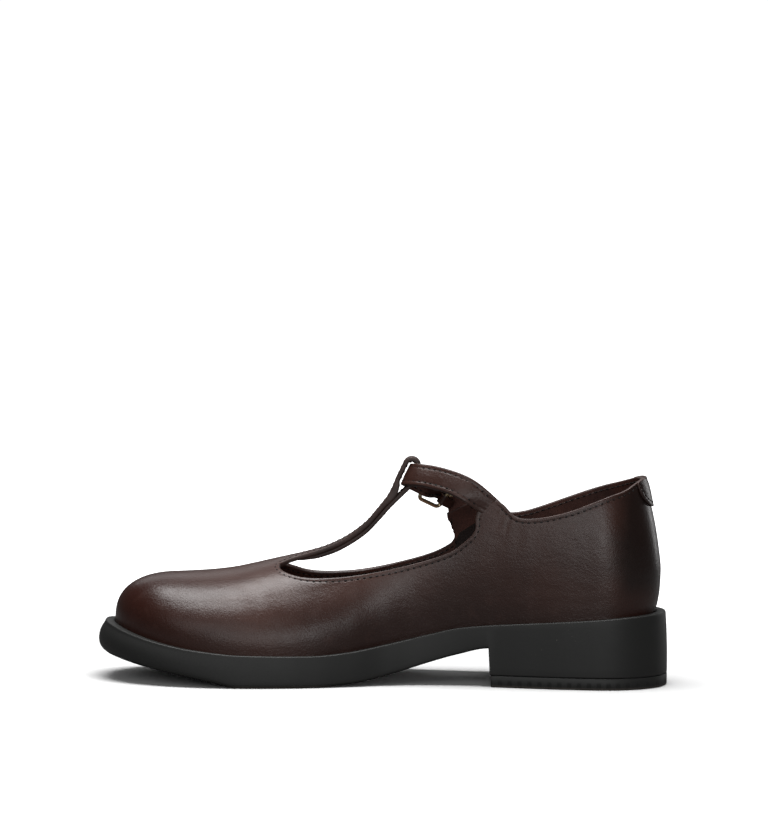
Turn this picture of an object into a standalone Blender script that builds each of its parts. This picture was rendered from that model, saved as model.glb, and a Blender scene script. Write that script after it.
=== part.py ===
"""Right-foot T-bar shoe with a cup sole and a low block heel, built at full size.

Sizes are in millimetres and turn to metres as each mesh is made. +X runs forward to the toe, +Y to the
wearer's left, which is the medial side of this right shoe, and +Z up. The ground is z = 0, and x = 0 is the
middle of the heel's rest face.
"""

import bmesh
import bpy
import numpy as np

MM = 0.001

# Overall sizes.
LENGTH = 248.6
BALL_WIDE = 81.6
UPPER_HIGH = 61.0
SOLE_HIGH = 14.1
HEEL_RISE = 19.5
TOE_SPRING = 12.1

# Sole.
TOP_PIECE = 5.2
RIM_WIDE = 4.9
SIDE_SWELL = 2.9
EDGE_RADIUS = 6.0
CUP_DEPTH = 5.0
CUP_GAP = 0.6
SEAT_GAP = 0.45
INSOLE_THICK = 3.0
HEEL_ROUND = 30.0
TOE_ROUND = 66.0
BREAST = 0.303

# Upper.
WALL = 2.0
TOE_BOX_ROUND = 27.0
SKIN_SWELL = 2.6
BACK_LEAN = 5.9
BAR_WIDE = 12.6
BAR_DROP = 2.5
BAR_LAYERS = 2.0
TAB_TALL = 12.0
TAB_THICK = 0.8

# Strap and buckle.
STRAP_THICK = 2.2
STRAP_WIDE = 10.4
LOOP_SLACK = 1.0
LOOP_LEAN = 65.0
FRAME_LONG = 14.8
FRAME_WIDE = 18.0
RAIL = 0.95
PRONG = 0.8
CHAPE_THICK = 1.2
CHAPE_WIDE = 11.6
CHAPE_LEG = 4.4
GORE_THICK = 1.5
GORE_WIDE = 11.0
GAP = 0.3

# Outline of the upper on the sole: place along the length, middle line and half width as shares of half
# the ball width, before the ends are rounded.
PLAN = (
    (0.0, 0.0, 0.667),
    (0.08, 0.0, 0.667),
    (0.16, 0.0, 0.662),
    (0.2325, -0.02, 0.637),
    (0.305, -0.064, 0.613),
    (0.37, -0.103, 0.603),
    (0.434, -0.1225, 0.6225),
    (0.498, -0.118, 0.701),
    (0.562, -0.088, 0.819),
    (0.627, -0.054, 0.922),
    (0.691, -0.015, 0.98),
    (0.7635, 0.02, 1.0),
    (0.844, 0.049, 0.985),
    (0.9245, 0.069, 0.956),
    (1.0, 0.0735, 0.931),
)

# The sole along its length: underside as shares of heel rise and of toe spring, rim above the ball's as
# shares of the same two, then edge radius, rim width and side swell as shares of their sizes.
SOLE = (
    (0.0, 0.0, 0.0, 1.0, 0.0, 0.083, 1.0, 0.345),
    (0.0555, 0.0, 0.0, 0.959, 0.0, 0.083, 0.9, 0.276),
    (0.12, 0.0, 0.0, 0.887, 0.0, 0.083, 0.816, 0.207),
    (0.2, 0.0, 0.0, 0.81, 0.0, 0.083, 0.735, 0.138),
    (0.305, 0.892, 0.0, 0.708, 0.0, 0.2, 0.714, 0.138),
    (0.361, 0.738, 0.0, 0.626, 0.0, 0.2, 0.714, 0.138),
    (0.4215, 0.513, 0.0, 0.451, 0.0, 0.2, 0.714, 0.172),
    (0.482, 0.282, 0.0, 0.272, 0.0, 0.22, 0.714, 0.207),
    (0.542, 0.105, 0.0, 0.118, 0.0, 0.23, 0.714, 0.241),
    (0.57, 0.054, 0.0, 0.0615, 0.0, 0.25, 0.714, 0.276),
    (0.635, 0.0, 0.0, 0.0, 0.0, 0.25, 0.714, 0.276),
    (0.7635, 0.0, 0.0, 0.0, 0.041, 0.27, 0.735, 0.31),
    (0.804, 0.0, 0.165, 0.0, 0.107, 0.33, 0.755, 0.379),
    (0.86, 0.0, 0.388, 0.0, 0.24, 0.42, 0.796, 0.517),
    (0.916, 0.0, 0.595, 0.0, 0.463, 0.58, 0.857, 0.69),
    (0.96, 0.0, 0.769, 0.0, 0.711, 0.8, 0.898, 0.862),
    (1.0, 0.0, 0.934, 0.0, 1.0, 1.0, 0.939, 1.0),
)

# Arch of the upper: place, ridge above the rim as a share of the upper's height, ridge's sideways place,
# roundness of the section, swell over the sole.
ARCH = (
    (0.0, 1.777, 0.0, 2.3, 0.46),
    (0.12, 1.78, 0.0, 2.5, 0.615),
    (0.281, 1.699, 0.0, 2.6, 0.846),
    (0.385, 1.523, 0.0, 2.5, 1.0),
    (0.474, 1.2485, 0.0, 2.3, 0.923),
    (0.538, 0.925, 0.0, 2.1, 0.69),
    (0.5745, 0.826, 0.0, 2.05, 0.577),
    (0.6105, 0.765, 0.0, 2.05, 0.46),
    (0.647, 0.7245, 0.0, 2.05, 0.385),
    (0.6955, 0.675, 0.005, 2.05, 0.308),
    (0.742, 0.625, 0.015, 2.1, 0.308),
    (0.802, 0.563, 0.0245, 2.15, 0.308),
    (0.876, 0.501, 0.044, 2.25, 0.308),
    (0.9245, 0.45, 0.059, 2.35, 0.23),
    (0.9645, 0.4, 0.069, 2.4, 0.115),
    (1.0, 0.3475, 0.0735, 2.4, 0.0),
)

# Back seam: height above the rim as a share of the upper's, lean forward as a share of the lean at the top.
BACK_SEAM = (
    (-0.092, 0.0),
    (-0.003, 0.0),
    (0.039, -0.1525),
    (0.1705, -0.356),
    (0.3015, -0.407),
    (0.482, -0.203),
    (0.656, 0.102),
    (0.805, 0.458),
    (0.928, 0.746),
    (0.998, 1.0),
    (1.04, 1.17),
)

# Edge of each wall from the back seam to the front of the window: foot of the column and its top along the
# length, height above the rim, and 1 where the edge turns sharply. The two turns are the ends of an ear.
MEDIAL_EDGE = (
    (0.0, 0.0, 0.998, 0),
    (0.0075, 0.0075, 0.995, 0),
    (0.0275, 0.0275, 0.968, 0),
    (0.0515, 0.0515, 0.93, 0),
    (0.084, 0.084, 0.901, 0),
    (0.12, 0.12, 0.862, 0),
    (0.152, 0.152, 0.823, 0),
    (0.184, 0.184, 0.795, 0),
    (0.2165, 0.2165, 0.777, 0),
    (0.2405, 0.2445, 0.776, 0),
    (0.2545, 0.2615, 0.794, 0),
    (0.2665, 0.274, 0.838, 0),
    (0.279, 0.284, 0.885, 0),
    (0.291, 0.2965, 0.9235, 1),
    (0.309, 0.33, 0.871, 1),
    (0.321, 0.3345, 0.81, 0),
    (0.335, 0.334, 0.735, 0),
    (0.351, 0.3405, 0.6805, 0),
    (0.367, 0.358, 0.6225, 0),
    (0.3855, 0.379, 0.5765, 0),
    (0.4135, 0.4115, 0.556, 0),
    (0.458, 0.458, 0.5465, 0),
    (0.514, 0.514, 0.5455, 0),
    (0.57, 0.57, 0.549, 0),
    (0.6185, 0.6185, 0.554, 0),
    (0.651, 0.651, 0.562, 0),
    (0.675, 0.675, 0.5825, 0),
    (0.6885, 0.6885, 0.6015, 0),
    (0.6955, 0.6955, 0.6225, 1),
)
LATERAL_EDGE = (
    (0.0, 0.0, 0.998, 0),
    (0.0075, 0.0075, 0.995, 0),
    (0.0275, 0.0275, 0.975, 0),
    (0.0515, 0.0515, 0.953, 0),
    (0.084, 0.084, 0.931, 0),
    (0.12, 0.12, 0.9015, 0),
    (0.152, 0.152, 0.8675, 0),
    (0.184, 0.184, 0.831, 0),
    (0.2165, 0.2165, 0.7935, 0),
    (0.2445, 0.2445, 0.768, 0),
    (0.2685, 0.2705, 0.763, 0),
    (0.289, 0.295, 0.7785, 0),
    (0.307, 0.319, 0.82, 0),
    (0.325, 0.346, 0.8715, 1),
    (0.345, 0.388, 0.814, 1),
    (0.357, 0.3855, 0.759, 0),
    (0.367, 0.3775, 0.698, 0),
    (0.376, 0.3725, 0.636, 0),
    (0.386, 0.378, 0.578, 0),
    (0.403, 0.4, 0.541, 0),
    (0.4315, 0.43, 0.521, 0),
    (0.474, 0.474, 0.511, 0),
    (0.522, 0.522, 0.5085, 0),
    (0.5705, 0.5705, 0.5155, 0),
    (0.6185, 0.6185, 0.527, 0),
    (0.651, 0.651, 0.543, 0),
    (0.675, 0.675, 0.576, 0),
    (0.6885, 0.6885, 0.598, 0),
    (0.6955, 0.6955, 0.619, 1),
)

# Outer face of the T-bar: place, height, half width as a share of the bar's width, crown across it and
# share of the wall, which is thickest where the fold's tail comes back to the bar.
BAR = (
    (0.6955, 0.675, 1.0, 1.0, 1.0),
    (0.6885, 0.682, 0.841, 0.95, 1.0),
    (0.675, 0.696, 0.706, 0.85, 1.0),
    (0.651, 0.7195, 0.595, 0.7, 1.0),
    (0.6125, 0.762, 0.524, 0.5, 1.0),
    (0.5745, 0.823, 0.5, 0.4, 1.0),
    (0.54, 0.9065, 0.5, 0.3, 1.0),
    (0.519, 0.989, 0.5, 0.2, 1.0),
    (0.508, 1.0355, 0.5, 0.15, 1.05),
    (0.5005, 1.0685, 0.5, 0.1, 1.35),
    (0.4935, 1.113, 0.47, 0.05, 1.8),
    (0.488, 1.1565, 0.46, 0.0, 1.55),
)

# Middle of the strap inside the bar's fold, then the fold's tail under the bar: place, share of the wall.
LOOP = (0.4625, 1.2085)
TAIL = (
    (0.506, 1.0),
    (0.523, 1.0),
    (0.55, 1.0),
    (0.59, 1.0),
    (0.625, 0.9),
    (0.65, 0.6),
    (0.664, 0.3),
)

# Middle line of the strap from the medial ear through the fold: place, sideways share, height, outward
# direction, share of the strap's width.
STRAP = (
    (0.329, 0.564, 0.9555, 0.06, 0.94, 0.33, 0.94),
    (0.349, 0.539, 1.021, 0.14, 0.91, 0.38, 1.0),
    (0.3815, 0.463, 1.0995, 0.36, 0.8, 0.48, 1.0),
    (0.4195, 0.333, 1.17, 0.62, 0.6, 0.5, 1.0),
    (0.4475, 0.2475, 1.205, 0.8, 0.42, 0.44, 1.0),
    (0.4605, 0.145, 1.2125, 0.895, 0.06, 0.42, 1.0),
    (0.462, 0.0, 1.2075, 0.906, 0.0, 0.423, 1.0),
    (0.4615, -0.155, 1.1965, 0.9, -0.04, 0.42, 1.0),
    (0.4505, -0.25, 1.1575, 0.76, -0.48, 0.43, 1.0),
)

# Middle of the buckle, and its own directions along and across the strap.
BUCKLE = (0.4065, -0.461, 1.029)
BUCKLE_ALONG = (-0.72, -0.57, -0.38)
BUCKLE_ACROSS = (-0.54, 0.12, 0.83)

# The strap through the buckle: place as a share of the frame's length, height as a share of the way from
# under the front rail (-1) to over the rear one (1).
STRAP_BUCKLE = (
    (-0.568, -1.0),
    (-0.432, -1.0),
    (-0.243, -0.52),
    (0.0, 0.27),
    (0.216, 0.8),
    (0.432, 1.0),
    (0.73, 0.98),
)

# The strap's free end on the lateral wall: place, height, lift as a share of that over the rear rail, width.
STRAP_TIP = (
    (0.3635, 0.826, 0.867, 1.0),
    (0.3525, 0.7375, 0.511, 1.0),
    (0.3405, 0.6425, 0.378, 1.0),
    (0.328, 0.5455, 0.356, 0.98),
    (0.3235, 0.504, 0.356, 0.82),
    (0.32, 0.476, 0.356, 0.45),
)

# Colours, roughness and metallic value of the finishes.
FINISHES = {
    "sole rubber": ((0.028, 0.029, 0.03), 0.72, 0.0),
    "brown leather": ((0.075, 0.048, 0.042), 0.38, 0.0),
    "sock leather": ((0.16, 0.09, 0.065), 0.7, 0.0),
    "ribbed elastic": ((0.12, 0.06, 0.05), 0.85, 0.0),
    "pale gold": ((0.83, 0.7, 0.46), 0.24, 1.0),
}

BACK_X = -0.12 * LENGTH
TOE_X = BACK_X + LENGTH
HALF = BALL_WIDE / 2
LOW_LIFT = RAIL + GAP + STRAP_THICK / 2 + 0.15
HIGH_LIFT = RAIL + 2 * GAP + 2 * PRONG + STRAP_THICK / 2 + 0.25
LOOP_R = STRAP_THICK / 2 + LOOP_SLACK + WALL


def place(share):
    """Length-wise position of a share of the length."""
    return BACK_X + np.asarray(share, float) * LENGTH


def ease(x, xs, ys):
    """Monotone cubic through the rows of a table."""
    x = np.clip(np.asarray(x, float), xs[0], xs[-1])
    h = np.diff(xs)
    d = np.diff(ys) / h
    m = np.zeros(len(xs))
    same_way = d[:-1] * d[1:] > 0
    m[1:-1][same_way] = 2 * (d[:-1] * d[1:])[same_way] / (d[:-1] + d[1:])[same_way]
    m[0] = d[0]
    m[-1] = d[-1]
    i = np.clip(np.searchsorted(xs, x, side="right") - 1, 0, len(h) - 1)
    t = (x - xs[i]) / h[i]
    start = (1 + 2 * t) * (1 - t) ** 2 * ys[i] + t * (1 - t) ** 2 * h[i] * m[i]
    return start + t * t * (3 - 2 * t) * ys[i + 1] + t * t * (t - 1) * h[i] * m[i + 1]


def column(table, k, size=1.0):
    """A column of a table as a function of x."""
    data = np.array(table, float).T
    return lambda x: size * ease((np.asarray(x, float) - BACK_X) / LENGTH, data[0], data[k])


plan_mid = column(PLAN, 1, HALF)
plan_half = column(PLAN, 2, HALF)
under_heel = column(SOLE, 1, HEEL_RISE)
under_toe = column(SOLE, 2, TOE_SPRING)
rim_heel = column(SOLE, 3, HEEL_RISE)
rim_toe = column(SOLE, 4, TOE_SPRING)
edge_radius = column(SOLE, 5, EDGE_RADIUS)
rim_wide = column(SOLE, 6, RIM_WIDE)
side_swell = column(SOLE, 7, SIDE_SWELL)
ridge_rise = column(ARCH, 1, UPPER_HIGH)
ridge_side = column(ARCH, 2, HALF)
roundness = column(ARCH, 3)
skin_swell = column(ARCH, 4, SKIN_SWELL)


def rim_top(x):
    """Height of the sole's rim, where the upper's visible wall starts."""
    return SOLE_HIGH + rim_heel(x) + rim_toe(x)


def lift(x, share):
    """Height of a share of the upper's height above the rim at x."""
    return rim_top(x) + np.asarray(share, float) * UPPER_HIGH


def back_seam(z):
    data = np.array(BACK_SEAM, float).T
    return BACK_LEAN * ease((z - rim_top(BACK_X)) / UPPER_HIGH, data[0], data[1])


def end_round(distance, length, power):
    """0 at an end of the shoe to 1 a rounding length inside it."""
    d = np.clip(distance / length, 0.0, 1.0)
    return (1.0 - (1.0 - d) ** power) ** (1.0 / power)


def both_ends(x):
    return end_round(x - BACK_X, HEEL_ROUND, 2.15) * end_round(TOE_X - x, TOE_ROUND, 2.25)


def feather(x, side):
    """Sideways place of the line where the upper meets the sole; side is 1 medial, -1 lateral."""
    return plan_mid(x) + side * plan_half(x) * both_ends(x)


def ridge_top(x):
    return rim_top(x) + ridge_rise(x) * end_round(TOE_X - x, TOE_BOX_ROUND, 2.6)


def skin(x, z, side):
    """Point of the upper's outer face at plan position x and height z."""
    x = np.asarray(x, float)
    z = np.asarray(z, float)
    base = rim_top(x)
    q = np.clip((z - base) / np.maximum(ridge_top(x) - base, 1e-6), 0.0, 1.0)
    c = (1.0 - q ** roundness(x)) ** (1.0 / roundness(x))
    middle = ridge_side(x) + (plan_mid(x) - ridge_side(x)) * c
    swell = skin_swell(x) * np.sin(np.pi * np.clip(q / 0.62, 0, 1))
    y = middle + side * both_ends(x) * (plan_half(x) * c + swell)
    lean = np.clip(1 - (x - BACK_X) / (2.2 * HEEL_ROUND), 0, 1) ** 2
    return np.stack([x + back_seam(z) * lean, y, z], axis=-1)


def skin_normal(x, z, side):
    """Outward direction of the upper's outer face on a wall."""
    along = skin(x + 0.5, z, side) - skin(x - 0.5, z, side)
    up = skin(x, z + 0.5, side) - skin(x, z - 0.5, side)
    n = unit(np.cross(along, up))
    return n if n[1] * side > 0 else -n


def arch_point(x, rise, side):
    """Outer face at x, with rise 0 at the sole and 1 on the ridge."""
    q = np.sin(rise * np.pi / 2) ** (2.0 / roundness(x))
    return skin(x, rim_top(x) + (ridge_top(x) - rim_top(x)) * q, side)


def rise_of(x, z):
    q = np.clip((z - rim_top(x)) / (ridge_top(x) - rim_top(x)), 0, 1)
    return np.arcsin(q ** (roundness(x) / 2)) * 2 / np.pi


def unit(v):
    v = np.asarray(v, float)
    return v / np.linalg.norm(v, axis=-1, keepdims=True)


def smooth_curve(rows, step):
    """Curve through the rows, about one step apart in its last two columns; a final 1 marks a sharp turn."""
    rows = np.asarray(rows, float)
    turn = rows[:, -1] > 0
    turn[0] = turn[-1] = True
    p = rows[:, :-1]
    out = [p[0]]
    for k in range(len(p) - 1):
        b = p[k]
        c = p[k + 1]
        start = c - b if turn[k] else (c - p[k - 1]) / 2
        end = c - b if turn[k + 1] else (p[k + 2] - b) / 2
        n = max(1, int(np.ceil(np.linalg.norm((c - b)[-2:]) / step)))
        for t in np.arange(1, n + 1) / n:
            point = (2 * t**3 - 3 * t**2 + 1) * b + (t**3 - 2 * t**2 + t) * start
            out.append(point + (3 * t**2 - 2 * t**3) * c + (t**3 - t**2) * end)
    return np.array(out)


def stations(heel_n, step, toe_n):
    """Positions along the shoe, closer together round the heel and the toe."""
    heel = BACK_X + HEEL_ROUND * (1 - np.cos(np.linspace(0, np.pi / 2, heel_n + 1)))
    toe = TOE_X - TOE_ROUND * (1 - np.cos(np.linspace(np.pi / 2, 0, toe_n + 1)))
    n = int(round((toe[0] - heel[-1]) / step))
    return np.concatenate([heel, np.linspace(heel[-1], toe[0], n + 1)[1:-1], toe])


def sole_stations():
    """Stations with a pair at the heel's breast."""
    x = stations(7, 7.0, 9)
    breast = place(BREAST)
    x = x[np.abs(x - breast - 0.4) > 2.0]
    return np.sort(np.append(x, [breast, breast + 0.8]))


def plan_normals(x):
    """Outward directions of the outline at each station of each side."""
    out = {}
    for side in (1, -1):
        t = np.gradient(np.stack([x, feather(x, side)], axis=1), axis=0)
        out[side] = unit(np.stack([-t[:, 1], t[:, 0]], axis=1) * side)
        out[side][0] = (-1.0, 0.0)
        if x[-1] > TOE_X - 1e-6:
            out[side][-1] = (1.0, 0.0)
    return out


def ring(x, away, z):
    """Closed ring round the shoe, the given distance outside the upper's outline."""
    n = plan_normals(x)
    sides = []
    for side in (1, -1):
        p = np.stack([x, feather(x, side)], axis=1) + n[side] * np.asarray(away)[:, None]
        sides.append(np.column_stack([p, z]))
    return np.vstack([sides[0], sides[1][-2:0:-1]])


def across(count, first, up):
    """Faces across a ring, from station to station."""
    m = count // 2
    right = [first] + [first + count - i for i in range(1, m)] + [first + m]
    faces = []
    for i in range(m):
        quad = list(dict.fromkeys([first + i, first + i + 1, right[i + 1], right[i]]))
        faces.append(quad[::-1] if up else quad)
    return faces


def loft(rings):
    """Closed skin through rings of equal length, from the one underneath to the one inside the top."""
    count = len(rings[0])
    faces = across(count, 0, False) + across(count, (len(rings) - 1) * count, True)
    for k in range(len(rings) - 1):
        for i in range(count):
            j = (i + 1) % count
            faces.append([k * count + j, k * count + i, (k + 1) * count + i, (k + 1) * count + j])
    return np.vstack(rings), faces


def finish(name):
    """Material with the finish's colour, roughness and metallic value."""
    material = bpy.data.materials.get(name)
    if material is None:
        material = bpy.data.materials.new(name)
        material.use_nodes = True
        shader = material.node_tree.nodes["Principled BSDF"]
        colour, rough, metal = FINISHES[name]
        shader.inputs["Base Color"].default_value = (*colour, 1.0)
        shader.inputs["Roughness"].default_value = rough
        shader.inputs["Metallic"].default_value = metal
        material.diffuse_color = (*colour, 1.0)
    return material


def collection(name):
    found = bpy.data.collections.get(name)
    if found is None:
        found = bpy.data.collections.new(name)
        bpy.context.scene.collection.children.link(found)
    return found


def mesh_piece(name, verts, faces, material, smooth=True):
    """Mesh object from points in millimetres; its faces are turned to point out where it is closed."""
    mesh = bpy.data.meshes.new(name)
    mesh.from_pydata([tuple(v) for v in np.asarray(verts) * MM], [], [[int(v) for v in f] for f in faces])
    obj = bpy.data.objects.new(name, mesh)
    collection("t_bar_shoe").objects.link(obj)
    mesh.materials.append(finish(material))
    if smooth:
        mesh.shade_smooth()
        mesh.set_sharp_from_angle(angle=np.radians(40))
    return obj


def wall(obj, thick, offset):
    """Gives an open sheet its thickness: offset -1 keeps the sheet as the outer face, 0 as the middle."""
    step = obj.modifiers.new("wall", "SOLIDIFY")
    step.thickness = thick * MM
    step.offset = offset


def soften(obj, width):
    step = obj.modifiers.new("edges", "BEVEL")
    step.width = width * MM
    step.segments = 1
    step.limit_method = "ANGLE"
    step.angle_limit = np.radians(60)


def tube_piece(name, points, radius, closed, material):
    """Round bar along a path, as a curve with a bevel."""
    curve = bpy.data.curves.new(name, "CURVE")
    curve.dimensions = "3D"
    curve.bevel_depth = radius * MM
    curve.bevel_resolution = 2
    curve.use_fill_caps = not closed
    spline = curve.splines.new("POLY")
    spline.points.add(len(points) - 1)
    for point, p in zip(spline.points, np.asarray(points) * MM):
        point.co = (*p, 1.0)
    spline.use_cyclic_u = closed
    curve.materials.append(finish(material))
    obj = bpy.data.objects.new(name, curve)
    collection("t_bar_shoe").objects.link(obj)
    return obj


def build_outsole():
    x = sole_stations()
    breast = place(BREAST)
    heel = x < breast + 0.1
    under = np.where(heel, TOP_PIECE + GAP, under_heel(np.maximum(x, breast)) + under_toe(x))
    radius = np.where(heel, 0.083 * EDGE_RADIUS, edge_radius(x))
    rim = rim_top(x)
    wide = rim_wide(x)
    out = wide + side_swell(x)
    low = under + radius
    cup = np.full(len(x), CUP_GAP)
    rings = [
        ring(x, out - radius, under),
        ring(x, out - 0.293 * radius, under + 0.293 * radius),
        ring(x, out, low),
        ring(x, wide + 0.75 * side_swell(x), low + 0.4 * (rim - low)),
        ring(x, wide, rim - 0.7),
        ring(x, wide - 0.6, rim),
        ring(x, cup, rim),
        ring(x, cup, rim - CUP_DEPTH),
    ]
    mesh_piece("outsole", *loft(rings), "sole rubber")


def build_heel_top_piece():
    """The heel's ground layer: its outline follows the block above it."""
    x = sole_stations()
    n = plan_normals(x)
    x = x[x < place(BREAST) + 0.1]
    away = rim_wide(x) + side_swell(x)
    medial = np.stack([x, feather(x, 1)], axis=1) + n[1][: len(x)] * away[:, None]
    lateral = np.stack([x, feather(x, -1)], axis=1) + n[-1][: len(x)] * away[:, None]
    outline = np.vstack([medial, lateral[:0:-1]])
    build = bmesh.new()
    corners = [build.verts.new((p[0] * MM, p[1] * MM, 0.0)) for p in outline]
    face = build.faces.new(corners)
    grown = bmesh.ops.extrude_face_region(build, geom=[face])
    top = [v for v in grown["geom"] if isinstance(v, bmesh.types.BMVert)]
    bmesh.ops.translate(build, verts=top, vec=(0, 0, TOP_PIECE * MM))
    bmesh.ops.recalc_face_normals(build, faces=build.faces)
    mesh = bpy.data.meshes.new("heel_top_piece")
    build.to_mesh(mesh)
    build.free()
    obj = bpy.data.objects.new("heel_top_piece", mesh)
    collection("t_bar_shoe").objects.link(obj)
    mesh.materials.append(finish("sole rubber"))
    soften(obj, 0.4)


def build_insole():
    x = stations(6, 9.0, 8)
    away = np.full(len(x), -(WALL + 0.7))
    floor = rim_top(x) - CUP_DEPTH + SEAT_GAP
    rings = [
        ring(x, away, floor),
        ring(x, away, floor + INSOLE_THICK - 0.4),
        ring(x, away - 0.4, floor + INSOLE_THICK),
    ]
    mesh_piece("insole", *loft(rings), "sock leather")


class Sheet:
    """Open sheet of points and the faces between them."""

    def __init__(self):
        self.points = []
        self.faces = []

    def add(self, point):
        self.points.append(np.asarray(point, float))
        return len(self.points) - 1

    def patch(self, grid, flip=False):
        """Faces between rows of point numbers; equal numbers close a face to a triangle."""
        for a, b in zip(grid, grid[1:]):
            for j in range(len(a) - 1):
                face = list(dict.fromkeys([a[j], b[j], b[j + 1], a[j + 1]]))
                if len(face) > 2:
                    self.faces.append(face[::-1] if flip else face)


def edge_rows(table):
    """An edge table as x of foot, x of top, height."""
    out = []
    for foot, top, share, turn in table:
        x = float(place(top))
        out.append((float(place(foot)), x, float(lift(x, share)), turn))
    return out


def inside_cup(x, side):
    return [x, float(feather(x, side)), float(rim_top(x)) - CUP_DEPTH + SEAT_GAP]


def wall_column(foot, top_x, top_z, side, rows):
    """One column of the wall, from inside the sole up to its edge."""
    t = np.linspace(0, 1, rows)
    base = float(rim_top(foot))
    if foot > place(0.6):
        points = [arch_point(foot, float(rise_of(top_x, top_z)) * k, side) for k in t]
    else:
        points = skin(foot + (top_x - foot) * t**4, base + (top_z - base) * t, side)
    return np.vstack([[inside_cup(foot, side)], points])


def tail_rows(bar):
    """Rear face of the fold's tail: crown, share of the wall and place, a clearance under the bar."""
    bar = bar[::-1]
    rows = []
    for share, thick in TAIL:
        x = float(place(share))
        z = np.interp([x - 0.5, x, x + 0.5], bar[:, 3], bar[:, 4])
        under = unit([z[2] - z[0], -1.0])
        away = np.interp(x, bar[:, 3], bar[:, 2]) * WALL + GAP + thick * WALL
        rows.append((np.interp(x, bar[:, 3], bar[:, 1]), thick, x + under[0] * away, z[1] + under[1] * away, 0))
    return rows


def fold_path():
    """Outer face of the T-bar from the window's front, over the strap and down to the tail's end.

    Its columns are half width, crown, x, z and the share of the wall.
    """
    bar = []
    for share, high, wide, crown, thick in BAR:
        x = float(place(share))
        bar.append((wide * BAR_WIDE, crown, thick, x, float(lift(x, high)), 0))
    bar = smooth_curve(bar, 4.0)
    lean = np.radians(LOOP_LEAN)
    up = np.array([-np.cos(lean), np.sin(lean)])
    out = np.array([np.sin(lean), np.cos(lean)])
    x = float(place(LOOP[0]))
    middle = np.array([x, float(lift(x, LOOP[1]))])
    turn = middle + up * (STRAP_WIDE / 2 - 0.5)
    leg = [middle + out * LOOP_R + up * STRAP_WIDE * s for s in (-0.4, -0.2, 0.15)]
    leg += [turn + LOOP_R * (out * np.cos(a) + up * np.sin(a)) for a in np.linspace(0, np.pi, 9)]
    leg += [middle - out * LOOP_R + up * STRAP_WIDE * s for s in (0.1, -0.45)]
    tail = smooth_curve([(0.0, 1.0, *leg[-1], 0)] + tail_rows(bar), 3.0)[1:]
    rows = [(0.425 * BAR_WIDE, 0.0, *p, 1.0) for p in leg]
    rows += [(0.42 * BAR_WIDE, crown, x, z, thick) for crown, thick, x, z in tail]
    return np.vstack([bar[:, [0, 1, 3, 4, 2]], rows])


def build_upper():
    """Vamp, quarters and T-bar as one open sheet with a wall."""
    sheet = Sheet()
    rows = 8
    last = {}
    edge_rise = {}
    for side, table in ((1, MEDIAL_EDGE), (-1, LATERAL_EDGE)):
        edge = smooth_curve(edge_rows(table), 5.0)
        grid = []
        for i, (foot, top_x, top_z) in enumerate(edge):
            if i == 0 and side == -1:
                grid.append(seam)
                continue
            grid.append([sheet.add(p) for p in wall_column(foot, top_x, top_z, side, rows)])
        if side == 1:
            seam = grid[0]
        sheet.patch(grid, side == 1)
        last[side] = grid[-1]
        edge_rise[side] = float(rise_of(edge[-1][1], edge[-1][2]))

    path = fold_path()
    tip = float(path[0][2])
    toe = stations(4, 8.0, 11)
    toe = toe[toe > tip + 3.0]
    ridge = [sheet.add(arch_point(tip, 1.0, 1))]
    ridge += [sheet.add(arch_point(x, 1.0, 1)) for x in toe[:-1]]
    tip_points = [sheet.add(inside_cup(TOE_X, 1)), sheet.add(arch_point(TOE_X, 0.0, 1))]
    ridge.append(tip_points[1])
    shoulder = {}
    for side in (1, -1):
        span = abs(float(feather(tip, side)) - float(ridge_side(tip)))
        q = (1 - (path[0][0] / span) ** roundness(tip)) ** (1 / roundness(tip))
        bar_rise = float(rise_of(tip, rim_top(tip) + (ridge_top(tip) - rim_top(tip)) * q))
        rises = list(np.linspace(edge_rise[side], bar_rise, 3)[1:]) + [(bar_rise + 1) / 2]
        grid = [last[side] + [sheet.add(arch_point(tip, r, side)) for r in rises]]
        for x in toe[:-1]:
            wall_rises = np.linspace(0, edge_rise[side], rows)
            points = [inside_cup(x, side)] + [arch_point(x, r, side) for r in [*wall_rises, *rises]]
            grid.append([sheet.add(p) for p in points])
        grid.append([tip_points[0]] + [tip_points[1]] * (len(grid[0]) - 1))
        shoulder[side] = grid[0][-2:]
        sheet.patch([row + [end] for row, end in zip(grid, ridge)], side == 1)

    bar = [[*shoulder[1], ridge[0], *shoulder[-1][::-1]]]
    weights = np.ones(len(sheet.points))
    for half, crown, x, z, thick in path[1:]:
        row = []
        for share in (1.0, 0.5, 0.0, -0.5, -1.0):
            drop = crown * BAR_DROP * (half * share / BAR_WIDE) ** 2
            row.append(sheet.add([x, half * share, z - drop]))
        bar.append(row)
        weights = np.append(weights, np.full(5, thick))
    sheet.patch(bar)
    obj = mesh_piece("upper", sheet.points, sheet.faces, "brown leather")
    wall(obj, BAR_LAYERS * WALL, -1)
    full = obj.vertex_groups.new(name="full wall")
    for v, weight in enumerate(weights):
        full.add([v], float(weight) / BAR_LAYERS, "REPLACE")
    obj.modifiers["wall"].vertex_group = "full wall"


def ear(table, side):
    """An ear's end: its two corners on the outer face and the outward direction between them."""
    a, b = [r for r in edge_rows(table) if r[3] == 1][:2]
    normal = skin_normal((a[1] + b[1]) / 2, (a[2] + b[2]) / 2, side)
    return skin(a[1], a[2], side), skin(b[1], b[2], side), normal


def buckle_axes():
    """Middle of the buckle, and directions along the strap, across it and outward."""
    x = float(place(BUCKLE[0]))
    middle = np.array([x, BUCKLE[1] * HALF, float(lift(x, BUCKLE[2]))])
    along = unit(BUCKLE_ALONG)
    wide = unit(np.array(BUCKLE_ACROSS) - along * np.dot(BUCKLE_ACROSS, along))
    return middle, along, wide, np.cross(wide, along)


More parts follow.
